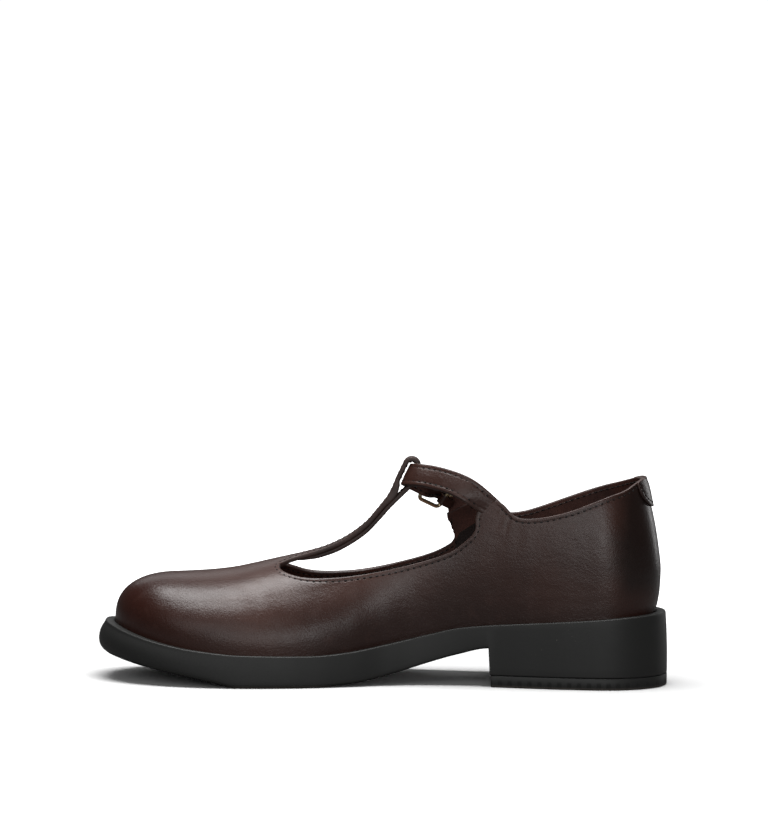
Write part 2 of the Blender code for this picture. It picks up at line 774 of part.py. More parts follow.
def strip(name, middles, wides, normals, widths, thick, material):
    """Leather or elastic strip: a narrow sheet along the middle line with a wall and softened edges."""
    sheet = Sheet()
    grid = []
    for p, w, size in zip(middles, wides, widths):
        grid.append([sheet.add(p + w * size * k) for k in (0.5, 0.0, -0.5)])
    a, b, c = (sheet.points[grid[0][0]], sheet.points[grid[1][0]], sheet.points[grid[0][2]])
    sheet.patch(grid, np.dot(np.cross(b - a, c - a), normals[0]) < 0)
    obj = mesh_piece(name, sheet.points, sheet.faces, material)
    wall(obj, thick, 0)
    soften(obj, 0.18 * thick)
    return obj


def strap_rows():
    """Middle points, outward directions and widths of the cross strap, root to tip."""
    a, b, normal = ear(MEDIAL_EDGE, 1)
    rows = []
    for share, side, high, nx, ny, nz, wide in STRAP:
        x = float(place(share))
        rows.append([x, side * HALF, float(lift(x, high)), nx, ny, nz, wide])
    start = (a + b) / 2 - normal * WALL / 2
    lead = unit(np.array(rows[0][:3]) - start)
    rows.insert(0, [*(start + lead * (GAP + 0.85)), *normal, 0.88])
    middle, along, wide_way, out = buckle_axes()
    for s, rise in STRAP_BUCKLE:
        p = middle + along * s * FRAME_LONG + out * rise * (HIGH_LIFT if rise > 0 else LOW_LIFT)
        rows.append([*p, *out, 1.0])
    for share, high, rise, wide in STRAP_TIP:
        x = float(place(share))
        z = float(lift(x, high))
        n = skin_normal(x, z, -1)
        rows.append([*(skin(x, z, -1) + n * rise * HIGH_LIFT), *n, wide])
    return rows, unit(a - b)


def build_cross_strap():
    rows, root_way = strap_rows()
    table = smooth_curve([(*r[3:], *r[:3], 0) for r in rows], 3.2)
    points = table[:, 4:7]
    along = unit(np.gradient(points, axis=0))
    normals = unit(table[:, 0:3] - along * np.sum(table[:, 0:3] * along, axis=1)[:, None])
    wides = np.cross(along, normals)
    root = unit(root_way - normals[0] * np.dot(root_way, normals[0]))
    wides[0] = root if np.dot(root, wides[1]) > 0 else -root
    strap = strip("cross_strap", points, wides, normals, table[:, 3] * STRAP_WIDE, STRAP_THICK, "brown leather")
    way = (-0.27, 0.5, -0.6, RAIL + GAP + 2 * PRONG + 0.65, PRONG + 0.45)
    cut(strap, box_cutter("prong_way", *way))


def build_elastic_gore():
    a, b, normal = ear(LATERAL_EDGE, -1)
    middle, along, wide_way, out = buckle_axes()
    end = middle + along * (FRAME_LONG / 2 + CHAPE_LEG / 2)
    start = (a + b) / 2 - normal * WALL / 2
    lead = unit(end - start)
    start = start + lead * (GAP + 0.2)
    t = np.linspace(0, 1, 6)[:, None]
    reach = np.linalg.norm(end - start)
    points = (2 * t**3 - 3 * t**2 + 1) * start + (t**3 - 2 * t**2 + t) * lead * reach
    points = points + (3 * t**2 - 2 * t**3) * end - (t**3 - t**2) * along * reach
    root = unit(a - b)
    root = root if np.dot(root, wide_way) > 0 else -root
    normals = unit(normal * (1 - t) + out * t)
    wides = root * (1 - t) + wide_way * t
    wides = unit(wides - normals * np.sum(wides * normals, axis=1)[:, None])
    strip("elastic_gore", points, wides, normals, np.full(6, GORE_WIDE), GORE_THICK, "ribbed elastic")


def build_chape():
    """Leather folded round the buckle's rear rail and open towards the elastic."""
    middle, along, wide_way, out = buckle_axes()
    rail = middle + along * (FRAME_LONG / 2 - RAIL)
    r = RAIL + GAP + CHAPE_THICK / 2
    turns = np.linspace(0, np.pi, 7)
    legs = np.array([1.0, 0.72, 0.36]) * CHAPE_LEG
    points = [rail + along * s + out * r for s in legs]
    points += [rail + r * (out * np.cos(a) - along * np.sin(a)) for a in turns]
    points += [rail + along * s - out * r for s in legs[::-1]]
    normals = [out] * 3 + [out * np.cos(a) - along * np.sin(a) for a in turns] + [-out] * 3
    wides = np.repeat(wide_way[None], len(points), axis=0)
    wide = np.full(len(points), CHAPE_WIDE)
    fold = strip("buckle_chape", np.array(points), wides, np.array(normals), wide, CHAPE_THICK, "brown leather")
    tall = RAIL + GAP + CHAPE_THICK + 1.2
    back = 0.5 - (RAIL + 2.5) / FRAME_LONG
    front = 0.5 + (2 * PRONG + 2 * GAP + 0.1) / FRAME_LONG
    cut(fold, box_cutter("fold_way", back, front, -tall, tall, PRONG + 0.7))


def build_buckle():
    middle, along, wide_way, out = buckle_axes()
    a = FRAME_LONG / 2 - RAIL
    b = FRAME_WIDE / 2 - RAIL
    r = 0.15 * FRAME_LONG
    path = []
    for cx, cy, start in ((a - r, b - r, 0), (r - a, b - r, 90), (r - a, r - b, 180), (a - r, r - b, 270)):
        for turn in np.radians(start + np.linspace(0, 90, 5)):
            path.append(middle + along * (cx + r * np.cos(turn)) + wide_way * (cy + r * np.sin(turn)))
    tube_piece("buckle_frame", path, RAIL, True, "pale gold")
    rail = middle + along * a
    eye = RAIL + GAP + PRONG + 0.05
    pin = [rail + eye * (out * np.cos(t) - along * np.sin(t)) for t in np.radians(np.linspace(-170, 0, 9))]
    for back in (0.4, 1.0, 1.9):
        pin.append(rail - along * a * back + out * eye)
    pin.append(rail - along * (2 * a + 1.6) + out * (eye - 0.1))
    tube_piece("buckle_prong", pin, PRONG, False, "pale gold")


def box_cutter(name, back, front, low, high, half):
    """Box that clears the prong's way; its ends are shares of the frame's length from the middle."""
    middle, along, wide_way, out = buckle_axes()
    bpy.ops.mesh.primitive_cube_add(size=1.0)
    tool = bpy.context.active_object
    tool.name = name
    size = np.array([(front - back) * FRAME_LONG, 2 * half, high - low]) * MM
    centre = middle + along * (front + back) / 2 * FRAME_LONG + out * (high + low) / 2
    turn = np.array([along, wide_way, out]).T
    for v in tool.data.vertices:
        v.co = turn @ (np.array(v.co) * size) + centre * MM
    if np.linalg.det(turn) < 0:
        tool.data.flip_normals()
    for other in list(tool.users_collection):
        other.objects.unlink(tool)
    collection("cutters").objects.link(tool)
    tool.hide_render = True
    tool.display_type = "WIRE"
    return tool


def cut(obj, tool):
    step = obj.modifiers.new("prong clearance", "BOOLEAN")
    step.operation = "DIFFERENCE"
    step.solver = "EXACT"
    step.object = tool


def build_back_tab():
    """Half-moon reinforcement over the top of the back seam."""
    sheet = Sheet()
    grid = []
    for u in np.linspace(-1, 1, 11):
        side = 1 if u >= 0 else -1
        x = BACK_X + HEEL_ROUND * (1 - np.cos(abs(u) * np.radians(36.0)))
        data = np.array(MEDIAL_EDGE if side == 1 else LATERAL_EDGE).T
        top = float(lift(x, ease((x - BACK_X) / LENGTH, data[0], data[2])))
        low = top - TAB_TALL * (1 - abs(u) ** 2.2) ** 0.5 - 0.9
        grid.append([sheet.add(skin(x, z, side)) for z in np.linspace(low, top - 0.2, 5)])
    sheet.patch(grid, True)
    obj = mesh_piece("back_tab", sheet.points, sheet.faces, "brown leather")
    stand = obj.modifiers.new("stand off", "DISPLACE")
    stand.mid_level = 0.0
    stand.strength = (GAP + 0.05 + TAB_THICK) * MM
    wall(obj, TAB_THICK, -1)


def main():
    for old in list(bpy.data.objects):
        bpy.data.objects.remove(old)
    build_outsole()
    build_heel_top_piece()
    build_insole()
    build_upper()
    build_back_tab()
    build_cross_strap()
    build_elastic_gore()
    build_chape()
    build_buckle()


main()
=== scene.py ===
"""Looks of the brown leather T-bar shoe with a black cup sole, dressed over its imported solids.

Lengths in the tables and functions are millimetres, +X to the toe, +Y to the medial side, +Z up.
"""

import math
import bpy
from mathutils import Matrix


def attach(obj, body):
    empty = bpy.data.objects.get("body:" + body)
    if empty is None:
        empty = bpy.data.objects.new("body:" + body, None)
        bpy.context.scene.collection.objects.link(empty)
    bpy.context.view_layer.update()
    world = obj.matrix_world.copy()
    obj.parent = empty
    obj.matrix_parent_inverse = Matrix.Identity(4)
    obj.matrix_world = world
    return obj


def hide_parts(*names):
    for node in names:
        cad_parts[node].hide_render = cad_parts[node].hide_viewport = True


bl_info = {
    "name": "T-bar Shoe Maker",
    "version": (1, 0, 0),
    "blender": (4, 5, 0),
    "location": "View3D > Sidebar > T-bar Shoe",
    "description": "Makes a right T-bar shoe: cup sole, stitched upper, strap, elastic and buckle",
    "category": "Add Mesh",
}

import bpy
import numpy as np
from mathutils import Matrix, Vector
from mathutils.bvhtree import BVHTree
from mathutils.kdtree import KDTree

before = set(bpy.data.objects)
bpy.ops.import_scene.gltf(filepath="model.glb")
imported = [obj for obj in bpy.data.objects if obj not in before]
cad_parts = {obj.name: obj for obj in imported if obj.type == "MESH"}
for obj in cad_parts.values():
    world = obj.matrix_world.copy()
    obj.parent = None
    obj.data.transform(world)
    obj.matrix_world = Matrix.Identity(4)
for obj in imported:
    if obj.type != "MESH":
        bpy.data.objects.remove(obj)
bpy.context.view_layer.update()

MM = 0.001

# Overall sizes.
LENGTH = 248.6
HALF = 40.8
UPPER_HIGH = 61.0
SOLE_HIGH = 14.1
HEEL_RISE = 19.5
TOE_SPRING = 12.1

# Sole.
TOP_PIECE = 5.2
RIM_WIDE = 4.9
SIDE_SWELL = 2.9
EDGE_RADIUS = 6.0
HEEL_EDGE = 0.083 * EDGE_RADIUS
RIM_ROUND = 0.7
CUP_DEPTH = 5.0
CUP_GAP = 0.25
SEAT_GAP = 0.45
HEEL_ROUND = 30.0
TOE_ROUND = 66.0
BREAST = 0.303

# Upper.
WALL = 2.0
TOE_BOX_ROUND = 27.0
SKIN_SWELL = 2.6
BACK_LEAN = 5.9
BAR_WIDE = 12.6
BAR_DROP = 2.5
LOOP_HALF = 0.425 * BAR_WIDE
TAIL_HALF = 0.42 * BAR_WIDE
TAB_TALL = 12.0
TAB_THICK = 0.8
TAB_ANGLE = math.radians(36.0)

# Strap and buckle.
STRAP_THICK = 2.2
STRAP_WIDE = 10.4
STRAP_STEP = 1.1
STRAP_CROWN = ((0.0, 5.0), (-0.12, 0.08))
ROOT_PROUD = 0.2
ROOT_TWIST = 10
LOOP_SLACK = 1.0
LOOP_LEAN = 65.0
FRAME_LONG = 14.8
FRAME_WIDE = 18.0
RAIL = 0.95
PRONG = 0.8
CHAPE_THICK = 1.2
CHAPE_WIDE = 11.6
CHAPE_LEG = 4.4
SLOT_ROOM = 0.7
GORE_THICK = 1.5
GORE_WIDE = 11.0
RIBS = 11
RIB_ROWS = 6
RIB_HIGH = 0.2
GAP = 0.3
TAIL_GAP = 0.12

# Stitches: how deep their middle lies under the leather's face, and how far it stands off the back.
UPPER_SINK = 0.26
STRAP_SINK = 0.29
TAB_SINK = 0.2
INSIDE_PROUD = 0.05
BACK_PROUD = 0.02

# Outline of the upper on the sole: place, middle line, half width.
PLAN = (
    (0.0, 0.0, 0.667),
    (0.08, 0.0, 0.667),
    (0.16, 0.0, 0.662),
    (0.2325, -0.02, 0.637),
    (0.305, -0.064, 0.613),
    (0.37, -0.103, 0.603),
    (0.434, -0.1225, 0.6225),
    (0.498, -0.118, 0.701),
    (0.562, -0.088, 0.819),
    (0.627, -0.054, 0.922),
    (0.691, -0.015, 0.98),
    (0.7635, 0.02, 1.0),
    (0.844, 0.049, 0.985),
    (0.9245, 0.069, 0.956),
    (1.0, 0.0735, 0.931),
)

# Sole: place, underside by heel and toe, rim by heel and toe, edge radius, rim width, side swell.
SOLE = (
    (0.0, 0.0, 0.0, 1.0, 0.0, 0.083, 1.0, 0.345),
    (0.0555, 0.0, 0.0, 0.959, 0.0, 0.083, 0.9, 0.276),
    (0.12, 0.0, 0.0, 0.887, 0.0, 0.083, 0.816, 0.207),
    (0.2, 0.0, 0.0, 0.81, 0.0, 0.083, 0.735, 0.138),
    (0.305, 0.892, 0.0, 0.708, 0.0, 0.2, 0.714, 0.138),
    (0.361, 0.738, 0.0, 0.626, 0.0, 0.2, 0.714, 0.138),
    (0.4215, 0.513, 0.0, 0.451, 0.0, 0.2, 0.714, 0.172),
    (0.482, 0.282, 0.0, 0.272, 0.0, 0.22, 0.714, 0.207),
    (0.542, 0.105, 0.0, 0.118, 0.0, 0.23, 0.714, 0.241),
    (0.57, 0.054, 0.0, 0.0615, 0.0, 0.25, 0.714, 0.276),
    (0.635, 0.0, 0.0, 0.0, 0.0, 0.25, 0.714, 0.276),
    (0.7635, 0.0, 0.0, 0.0, 0.041, 0.27, 0.735, 0.31),
    (0.804, 0.0, 0.165, 0.0, 0.107, 0.33, 0.755, 0.379),
    (0.86, 0.0, 0.388, 0.0, 0.24, 0.42, 0.796, 0.517),
    (0.916, 0.0, 0.595, 0.0, 0.463, 0.58, 0.857, 0.69),
    (0.96, 0.0, 0.769, 0.0, 0.711, 0.8, 0.898, 0.862),
    (1.0, 0.0, 0.934, 0.0, 1.0, 1.0, 0.939, 1.0),
)

# Arch of the upper: place, ridge height, ridge's sideways place, roundness, swell over the sole.
ARCH = (
    (0.0, 1.777, 0.0, 2.3, 0.46),
    (0.12, 1.78, 0.0, 2.5, 0.615),
    (0.281, 1.699, 0.0, 2.6, 0.846),
    (0.385, 1.523, 0.0, 2.5, 1.0),
    (0.474, 1.2485, 0.0, 2.3, 0.923),
    (0.538, 0.925, 0.0, 2.1, 0.69),
    (0.5745, 0.826, 0.0, 2.05, 0.577),
    (0.6105, 0.765, 0.0, 2.05, 0.46),
    (0.647, 0.7245, 0.0, 2.05, 0.385),
    (0.6955, 0.675, 0.005, 2.05, 0.308),
    (0.742, 0.625, 0.015, 2.1, 0.308),
    (0.802, 0.563, 0.0245, 2.15, 0.308),
    (0.876, 0.501, 0.044, 2.25, 0.308),
    (0.9245, 0.45, 0.059, 2.35, 0.23),
    (0.9645, 0.4, 0.069, 2.4, 0.115),
    (1.0, 0.3475, 0.0735, 2.4, 0.0),
)

# Back seam: height, lean forward.
BACK_SEAM = (
    (-0.092, 0.0),
    (-0.003, 0.0),
    (0.039, -0.1525),
    (0.1705, -0.356),
    (0.3015, -0.407),
    (0.482, -0.203),
    (0.656, 0.102),
    (0.805, 0.458),
    (0.928, 0.746),
    (0.998, 1.0),
    (1.04, 1.17),
)

# Edges of the two walls: foot of the column, its top, height, 1 at a sharp turn.
MEDIAL_EDGE = (
    (0.0, 0.0, 0.998, 0),
    (0.0075, 0.0075, 0.995, 0),
    (0.0275, 0.0275, 0.968, 0),
    (0.0515, 0.0515, 0.93, 0),
    (0.084, 0.084, 0.901, 0),
    (0.12, 0.12, 0.862, 0),
    (0.152, 0.152, 0.823, 0),
    (0.184, 0.184, 0.795, 0),
    (0.2165, 0.2165, 0.777, 0),
    (0.2405, 0.2445, 0.776, 0),
    (0.2545, 0.2615, 0.794, 0),
    (0.2665, 0.274, 0.838, 0),
    (0.279, 0.284, 0.885, 0),
    (0.291, 0.2965, 0.9235, 1),
    (0.309, 0.33, 0.871, 1),
    (0.321, 0.3345, 0.81, 0),
    (0.335, 0.334, 0.735, 0),
    (0.351, 0.3405, 0.6805, 0),
    (0.367, 0.358, 0.6225, 0),
    (0.3855, 0.379, 0.5765, 0),
    (0.4135, 0.4115, 0.556, 0),
    (0.458, 0.458, 0.5465, 0),
    (0.514, 0.514, 0.5455, 0),
    (0.57, 0.57, 0.549, 0),
    (0.6185, 0.6185, 0.554, 0),
    (0.651, 0.651, 0.562, 0),
    (0.675, 0.675, 0.5825, 0),
    (0.6885, 0.6885, 0.6015, 0),
    (0.6955, 0.6955, 0.6225, 1),
)
LATERAL_EDGE = (
    (0.0, 0.0, 0.998, 0),
    (0.0075, 0.0075, 0.995, 0),
    (0.0275, 0.0275, 0.975, 0),
    (0.0515, 0.0515, 0.953, 0),
    (0.084, 0.084, 0.931, 0),
    (0.12, 0.12, 0.9015, 0),
    (0.152, 0.152, 0.8675, 0),
    (0.184, 0.184, 0.831, 0),
    (0.2165, 0.2165, 0.7935, 0),
    (0.2445, 0.2445, 0.768, 0),
    (0.2685, 0.2705, 0.763, 0),
    (0.289, 0.295, 0.7785, 0),
    (0.307, 0.319, 0.82, 0),
    (0.325, 0.346, 0.8715, 1),
    (0.345, 0.388, 0.814, 1),
    (0.357, 0.3855, 0.759, 0),
    (0.367, 0.3775, 0.698, 0),
    (0.376, 0.3725, 0.636, 0),
    (0.386, 0.378, 0.578, 0),
    (0.403, 0.4, 0.541, 0),
    (0.4315, 0.43, 0.521, 0),
    (0.474, 0.474, 0.511, 0),
    (0.522, 0.522, 0.5085, 0),
    (0.5705, 0.5705, 0.5155, 0),
    (0.6185, 0.6185, 0.527, 0),
    (0.651, 0.651, 0.543, 0),
    (0.675, 0.675, 0.576, 0),
    (0.6885, 0.6885, 0.598, 0),
    (0.6955, 0.6955, 0.619, 1),
)

# T-bar: place, height, half width, crown, share of the wall.
BAR = (
    (0.6955, 0.675, 1.0, 1.0, 1.0),
    (0.6885, 0.682, 0.841, 0.95, 1.0),
    (0.675, 0.696, 0.706, 0.85, 1.0),
    (0.651, 0.7195, 0.595, 0.7, 1.0),
    (0.6125, 0.762, 0.524, 0.5, 1.0),
    (0.5745, 0.823, 0.5, 0.4, 1.0),
    (0.54, 0.9065, 0.5, 0.3, 1.0),
    (0.519, 0.989, 0.5, 0.2, 1.0),
    (0.508, 1.0355, 0.5, 0.15, 1.05),
    (0.5005, 1.0685, 0.5, 0.1, 1.35),
    (0.4935, 1.113, 0.47, 0.05, 1.8),
    (0.488, 1.1565, 0.46, 0.0, 1.55),
)
# Middle of the loop round the strap: place, height.
LOOP = (0.4625, 1.2085)
# Tail of the bar's fold: place, share of the wall.
TAIL = (
    (0.506, 1.0),
    (0.523, 1.0),
    (0.55, 1.0),
    (0.59, 1.0),
    (0.625, 0.9),
    (0.65, 0.6),
    (0.664, 0.3),
)

# Strap's middle line after its root: place, side, height, outward direction, width.
STRAP = (
    (0.349, 0.539, 1.021, 0.14, 0.91, 0.38, 1.0),
    (0.3815, 0.463, 1.0995, 0.36, 0.8, 0.48, 1.0),
    (0.4195, 0.333, 1.17, 0.62, 0.6, 0.5, 1.0),
    (0.4475, 0.2475, 1.205, 0.8, 0.42, 0.44, 1.0),
    (0.4605, 0.145, 1.2125, 0.895, 0.06, 0.42, 1.0),
    (0.462, 0.0, 1.2075, 0.906, 0.0, 0.423, 1.0),
    (0.4615, -0.155, 1.1965, 0.9, -0.04, 0.42, 1.0),
    (0.4505, -0.25, 1.1575, 0.76, -0.48, 0.43, 1.0),
)
# Strap's root by the medial ear: distance along the strap, width.
STRAP_ROOT = (
    (0.4, 0.93),
    (-2.6, 0.89),
)
# Buckle: place, side and height of its middle, its directions along the strap and across it.
BUCKLE = (0.4065, -0.461, 1.029)
BUCKLE_ALONG = (-0.72, -0.57, -0.38)
BUCKLE_ACROSS = (-0.54, 0.12, 0.83)
# Strap in the buckle: distance from its middle in frame lengths, share of the lift; minus is under.
STRAP_BUCKLE = (
    (-0.568, -1.0),
    (-0.432, -1.0),
    (-0.243, -0.52),
    (0.0, 0.27),
    (0.216, 0.8),
    (0.432, 1.0),
    (0.73, 0.98),
)
# Strap beyond the buckle: place, height, share of the lift, width.
STRAP_TIP = (
    (0.3635, 0.826, 0.867, 1.0),
    (0.3525, 0.7375, 0.511, 1.0),
    (0.3405, 0.6425, 0.378, 1.0),
    (0.328, 0.5455, 0.356, 0.98),
    (0.3235, 0.504, 0.356, 0.82),
    (0.32, 0.476, 0.356, 0.45),
)

# Creases in the leather: place, height, side, half length, turn in degrees, depth, half width.
CREASES = (
    (0.178, 0.68, 1, 3.0, 66.0, 0.07, 0.7),
    (0.163, 0.62, 1, 4.5, 38.0, 0.09, 0.9),
    (0.139, 0.65, 1, 3.4, 57.0, 0.07, 0.8),
    (0.121, 0.56, 1, 4.6, 28.0, 0.08, 1.0),
    (0.105, 0.69, 1, 2.8, 72.0, 0.06, 0.8),
    (0.276, 0.75, 1, 3.4, 112.0, 0.2, 0.9),
    (0.289, 0.795, 1, 3.6, 128.0, 0.22, 0.9),
    (0.301, 0.815, 1, 3.0, 143.0, 0.2, 0.8),
    (0.312, 0.78, 1, 3.2, 163.0, 0.14, 0.9),
    (0.255, 0.62, 1, 7.0, 100.0, 0.08, 2.4),
    (0.3, 0.775, -1, 4.0, 50.0, 0.18, 1.1),
    (0.33, 0.78, -1, 4.0, 35.0, 0.18, 1.1),
    (0.15, 0.62, -1, 5.0, 125.0, 0.09, 1.2),
    (0.13, 0.58, -1, 4.0, 140.0, 0.08, 1.0),
    (0.72, 0.42, 1, 11.0, 72.0, 0.14, 3.2),
    (0.755, 0.38, 1, 12.0, 68.0, 0.16, 3.4),
    (0.73, 0.4, -1, 12.0, 72.0, 0.16, 3.2),
    (0.765, 0.36, -1, 11.0, 68.0, 0.14, 3.4),
)

# Section of the heel's ground layer: how far in from the sole's side, and height.
TOP_PIECE_EDGE = (
    (2.5, 0.0),
    (0.5, 0.0),
    (0.15, 0.12),
    (0.0, 0.4),
    (0.0, 4.7),
    (0.18, 5.05),
    (0.6, TOP_PIECE),
    (2.5, TOP_PIECE),
)

# Stage: distances in metres between which the floor starts to glow, its glow and its grey in
# reflections, and the world's strength as light and as backdrop.
GLOW_REACH = (0.15, 0.55)
FLOOR_GLOW = 1.1
FLOOR_REFLECTED = 0.15
AMBIENT = 0.06
BACKDROP = 1.05

# Softboxes: name, place, aim, size in metres, watts.
LAMPS = (
    ("overhead_softbox", (0.1, 0.04, 1.5), (0.09, 0.0, 0.05), (1.35, 0.85), 30.0),
    ("counter_box", (-0.42, 1.35, 0.15), (-0.01, 0.0, 0.06), (0.22, 0.26), 1.3),
    ("side_softbox", (0.0, 1.7, 0.3), (0.02, 0.0, 0.06), (1.1, 0.3), 2.8),
    ("rim_strip", (-0.95, -1.2, 0.25), (-0.02, 0.0, 0.06), (0.3, 0.5), 1.2),
    ("front_softbox", (0.55, 1.8, 1.05), (0.08, 0.0, 0.05), (1.7, 1.0), 5.5),
    ("back_softbox", (0.1, -1.3, 0.9), (0.09, 0.0, 0.05), (1.6, 0.6), 2.5),
)

BACK_X = -0.12 * LENGTH
TOE_X = BACK_X + LENGTH
LOW_LIFT = RAIL + GAP + STRAP_THICK / 2 + 0.15
HIGH_LIFT = RAIL + 2 * GAP + 2 * PRONG + STRAP_THICK / 2 + 0.25
LOOP_R = STRAP_THICK / 2 + LOOP_SLACK + WALL


def place(share):
    """Distance along the shoe at a share of the upper's length."""
    return BACK_X + np.asarray(share, float) * LENGTH


def ease(x, xs, ys):
    """Monotone cubic through the rows of a table."""
    x = np.clip(np.asarray(x, float), xs[0], xs[-1])
    h = np.diff(xs)
    d = np.diff(ys) / h
    m = np.zeros(len(xs))
    same_way = d[:-1] * d[1:] > 0
    m[1:-1][same_way] = 2 * (d[:-1] * d[1:])[same_way] / (d[:-1] + d[1:])[same_way]
    m[0] = d[0]
    m[-1] = d[-1]
    i = np.clip(np.searchsorted(xs, x, side="right") - 1, 0, len(h) - 1)
    t = (x - xs[i]) / h[i]
    start = (1 + 2 * t) * (1 - t) ** 2 * ys[i] + t * (1 - t) ** 2 * h[i] * m[i]
    return start + t * t * (3 - 2 * t) * ys[i + 1] + t * t * (t - 1) * h[i] * m[i + 1]


def column(table, k, size=1.0):
    """A column of a table as a function of x."""
    data = np.array(table, float).T
    return lambda x: size * ease((np.asarray(x, float) - BACK_X) / LENGTH, data[0], data[k])


plan_mid = column(PLAN, 1, HALF)
plan_half = column(PLAN, 2, HALF)
under_heel = column(SOLE, 1, HEEL_RISE)
under_toe = column(SOLE, 2, TOE_SPRING)
rim_heel = column(SOLE, 3, HEEL_RISE)
rim_toe = column(SOLE, 4, TOE_SPRING)
edge_radius = column(SOLE, 5, EDGE_RADIUS)
rim_wide = column(SOLE, 6, RIM_WIDE)
side_swell = column(SOLE, 7, SIDE_SWELL)
ridge_rise = column(ARCH, 1, UPPER_HIGH)
ridge_side = column(ARCH, 2, HALF)
roundness = column(ARCH, 3)
skin_swell = column(ARCH, 4, SKIN_SWELL)


def rim_top(x):
    """Height of the sole's rim, where the upper's visible wall starts."""
    return SOLE_HIGH + rim_heel(x) + rim_toe(x)


def lift(x, share):
    """Height at a share of the upper's height above the sole's rim."""
    return rim_top(x) + np.asarray(share, float) * UPPER_HIGH


def back_seam(z):
    """How far the back leans forward at a height."""
    data = np.array(BACK_SEAM, float).T
    return BACK_LEAN * ease((z - rim_top(BACK_X)) / UPPER_HIGH, data[0], data[1])


def end_round(distance, length, power):
    """Rounded rise from 0 at an end to 1 at the given length from it."""
    d = np.clip(distance / length, 0.0, 1.0)
    return (1.0 - (1.0 - d) ** power) ** (1.0 / power)


def both_ends(x):
    return end_round(x - BACK_X, HEEL_ROUND, 2.15) * end_round(TOE_X - x, TOE_ROUND, 2.25)


def feather(x, side):
    """Sideways place of the line where the upper meets the sole; side is 1 medial, -1 lateral."""
    return plan_mid(x) + side * plan_half(x) * both_ends(x)


def ridge_top(x):
    return rim_top(x) + ridge_rise(x) * end_round(TOE_X - x, TOE_BOX_ROUND, 2.6)


def skin(x, z, side):
    """Point of the upper's outer face at plan position x and height z."""
    x = np.asarray(x, float)
    z = np.asarray(z, float)
    base = rim_top(x)
    q = np.clip((z - base) / np.maximum(ridge_top(x) - base, 1e-6), 0.0, 1.0)
    c = (1.0 - q ** roundness(x)) ** (1.0 / roundness(x))
    middle = ridge_side(x) + (plan_mid(x) - ridge_side(x)) * c
    swell = skin_swell(x) * np.sin(np.pi * np.clip(q / 0.62, 0, 1))
    y = middle + side * both_ends(x) * (plan_half(x) * c + swell)
    lean = np.clip(1 - (x - BACK_X) / (2.2 * HEEL_ROUND), 0, 1) ** 2
    return np.stack([x + back_seam(z) * lean, y, z], axis=-1)


def skin_normal(x, z, side):
    along = skin(x + 0.5, z, side) - skin(x - 0.5, z, side)
    up = skin(x, z + 0.5, side) - skin(x, z - 0.5, side)
    n = unit(np.cross(along, up))
    return n if n[1] * side > 0 else -n


def arch_point(x, rise, side):
    """Outer face at x, with rise 0 at the sole and 1 on the ridge."""
    q = np.sin(rise * np.pi / 2) ** (2.0 / roundness(x))
    return skin(x, rim_top(x) + (ridge_top(x) - rim_top(x)) * q, side)


def rise_of(x, z):
    """Rise on the arch at a height, the reverse of arch_point."""
    q = np.clip((z - rim_top(x)) / (ridge_top(x) - rim_top(x)), 0, 1)
    return np.arcsin(q ** (roundness(x) / 2)) * 2 / np.pi


def unit(v):
    v = np.asarray(v, float)
    return v / np.maximum(np.linalg.norm(v, axis=-1, keepdims=True), 1e-12)


def smooth_curve(rows, step):
    """Curve through the rows, a step apart in its last two columns; a final 1 is a sharp turn."""
    rows = np.asarray(rows, float)
    turn = rows[:, -1] > 0
    turn[0] = turn[-1] = True
    p = rows[:, :-1]
    out = [p[0]]
    for k in range(len(p) - 1):
        b = p[k]
        c = p[k + 1]
        start = c - b if turn[k] else (c - p[k - 1]) / 2
        end = c - b if turn[k + 1] else (p[k + 2] - b) / 2
        n = max(1, int(np.ceil(np.linalg.norm((c - b)[-2:]) / step)))
        for t in np.arange(1, n + 1) / n:
            point = (2 * t**3 - 3 * t**2 + 1) * b + (t**3 - 2 * t**2 + t) * start
            out.append(point + (3 * t**2 - 2 * t**3) * c + (t**3 - t**2) * end)
    return np.array(out)


def stations(heel_n, step, toe_n):
    """Positions along the shoe, closer together round the heel and the toe."""
    heel = BACK_X + HEEL_ROUND * (1 - np.cos(np.linspace(0, np.pi / 2, heel_n + 1)))
    toe = TOE_X - TOE_ROUND * (1 - np.cos(np.linspace(np.pi / 2, 0, toe_n + 1)))
    n = int(round((toe[0] - heel[-1]) / step))
    return np.concatenate([heel, np.linspace(heel[-1], toe[0], n + 1)[1:-1], toe])


def sole_stations():
    """Stations with a close pair at the heel's breast."""
    x = stations(22, 2.5, 30)
    breast = float(place(BREAST))
    x = x[np.abs(x - breast - 0.4) > 1.3]
    return np.sort(np.append(x, [breast, breast + 0.8]))


def plan_normals(x):
    """Outward directions of the upper's outline, for each side."""
    out = {}
    for side in (1, -1):
        t = np.gradient(np.stack([x, feather(x, side)], axis=1), axis=0)
        out[side] = unit(np.stack([-t[:, 1], t[:, 0]], axis=1) * side)
        out[side][0] = (-1.0, 0.0)
        if x[-1] > TOE_X - 1e-6:
            out[side][-1] = (1.0, 0.0)
    return out


def ring(x, away, z):
    """Closed ring round the shoe, the given distance outside the upper's outline."""
    n = plan_normals(x)
    sides = []
    for side in (1, -1):
        p = np.stack([x, feather(x, side)], axis=1) + n[side] * np.asarray(away)[:, None]
        sides.append(np.column_stack([p, z]))
    return np.vstack([sides[0], sides[1][-2:0:-1]])


def across(count, first, up):
    """Faces across a ring, from station to station."""
    m = count // 2
    right = [first] + [first + count - i for i in range(1, m)] + [first + m]
    faces = []
    for i in range(m):
        quad = list(dict.fromkeys([first + i, first + i + 1, right[i + 1], right[i]]))
        faces.append(quad[::-1] if up else quad)
    return faces


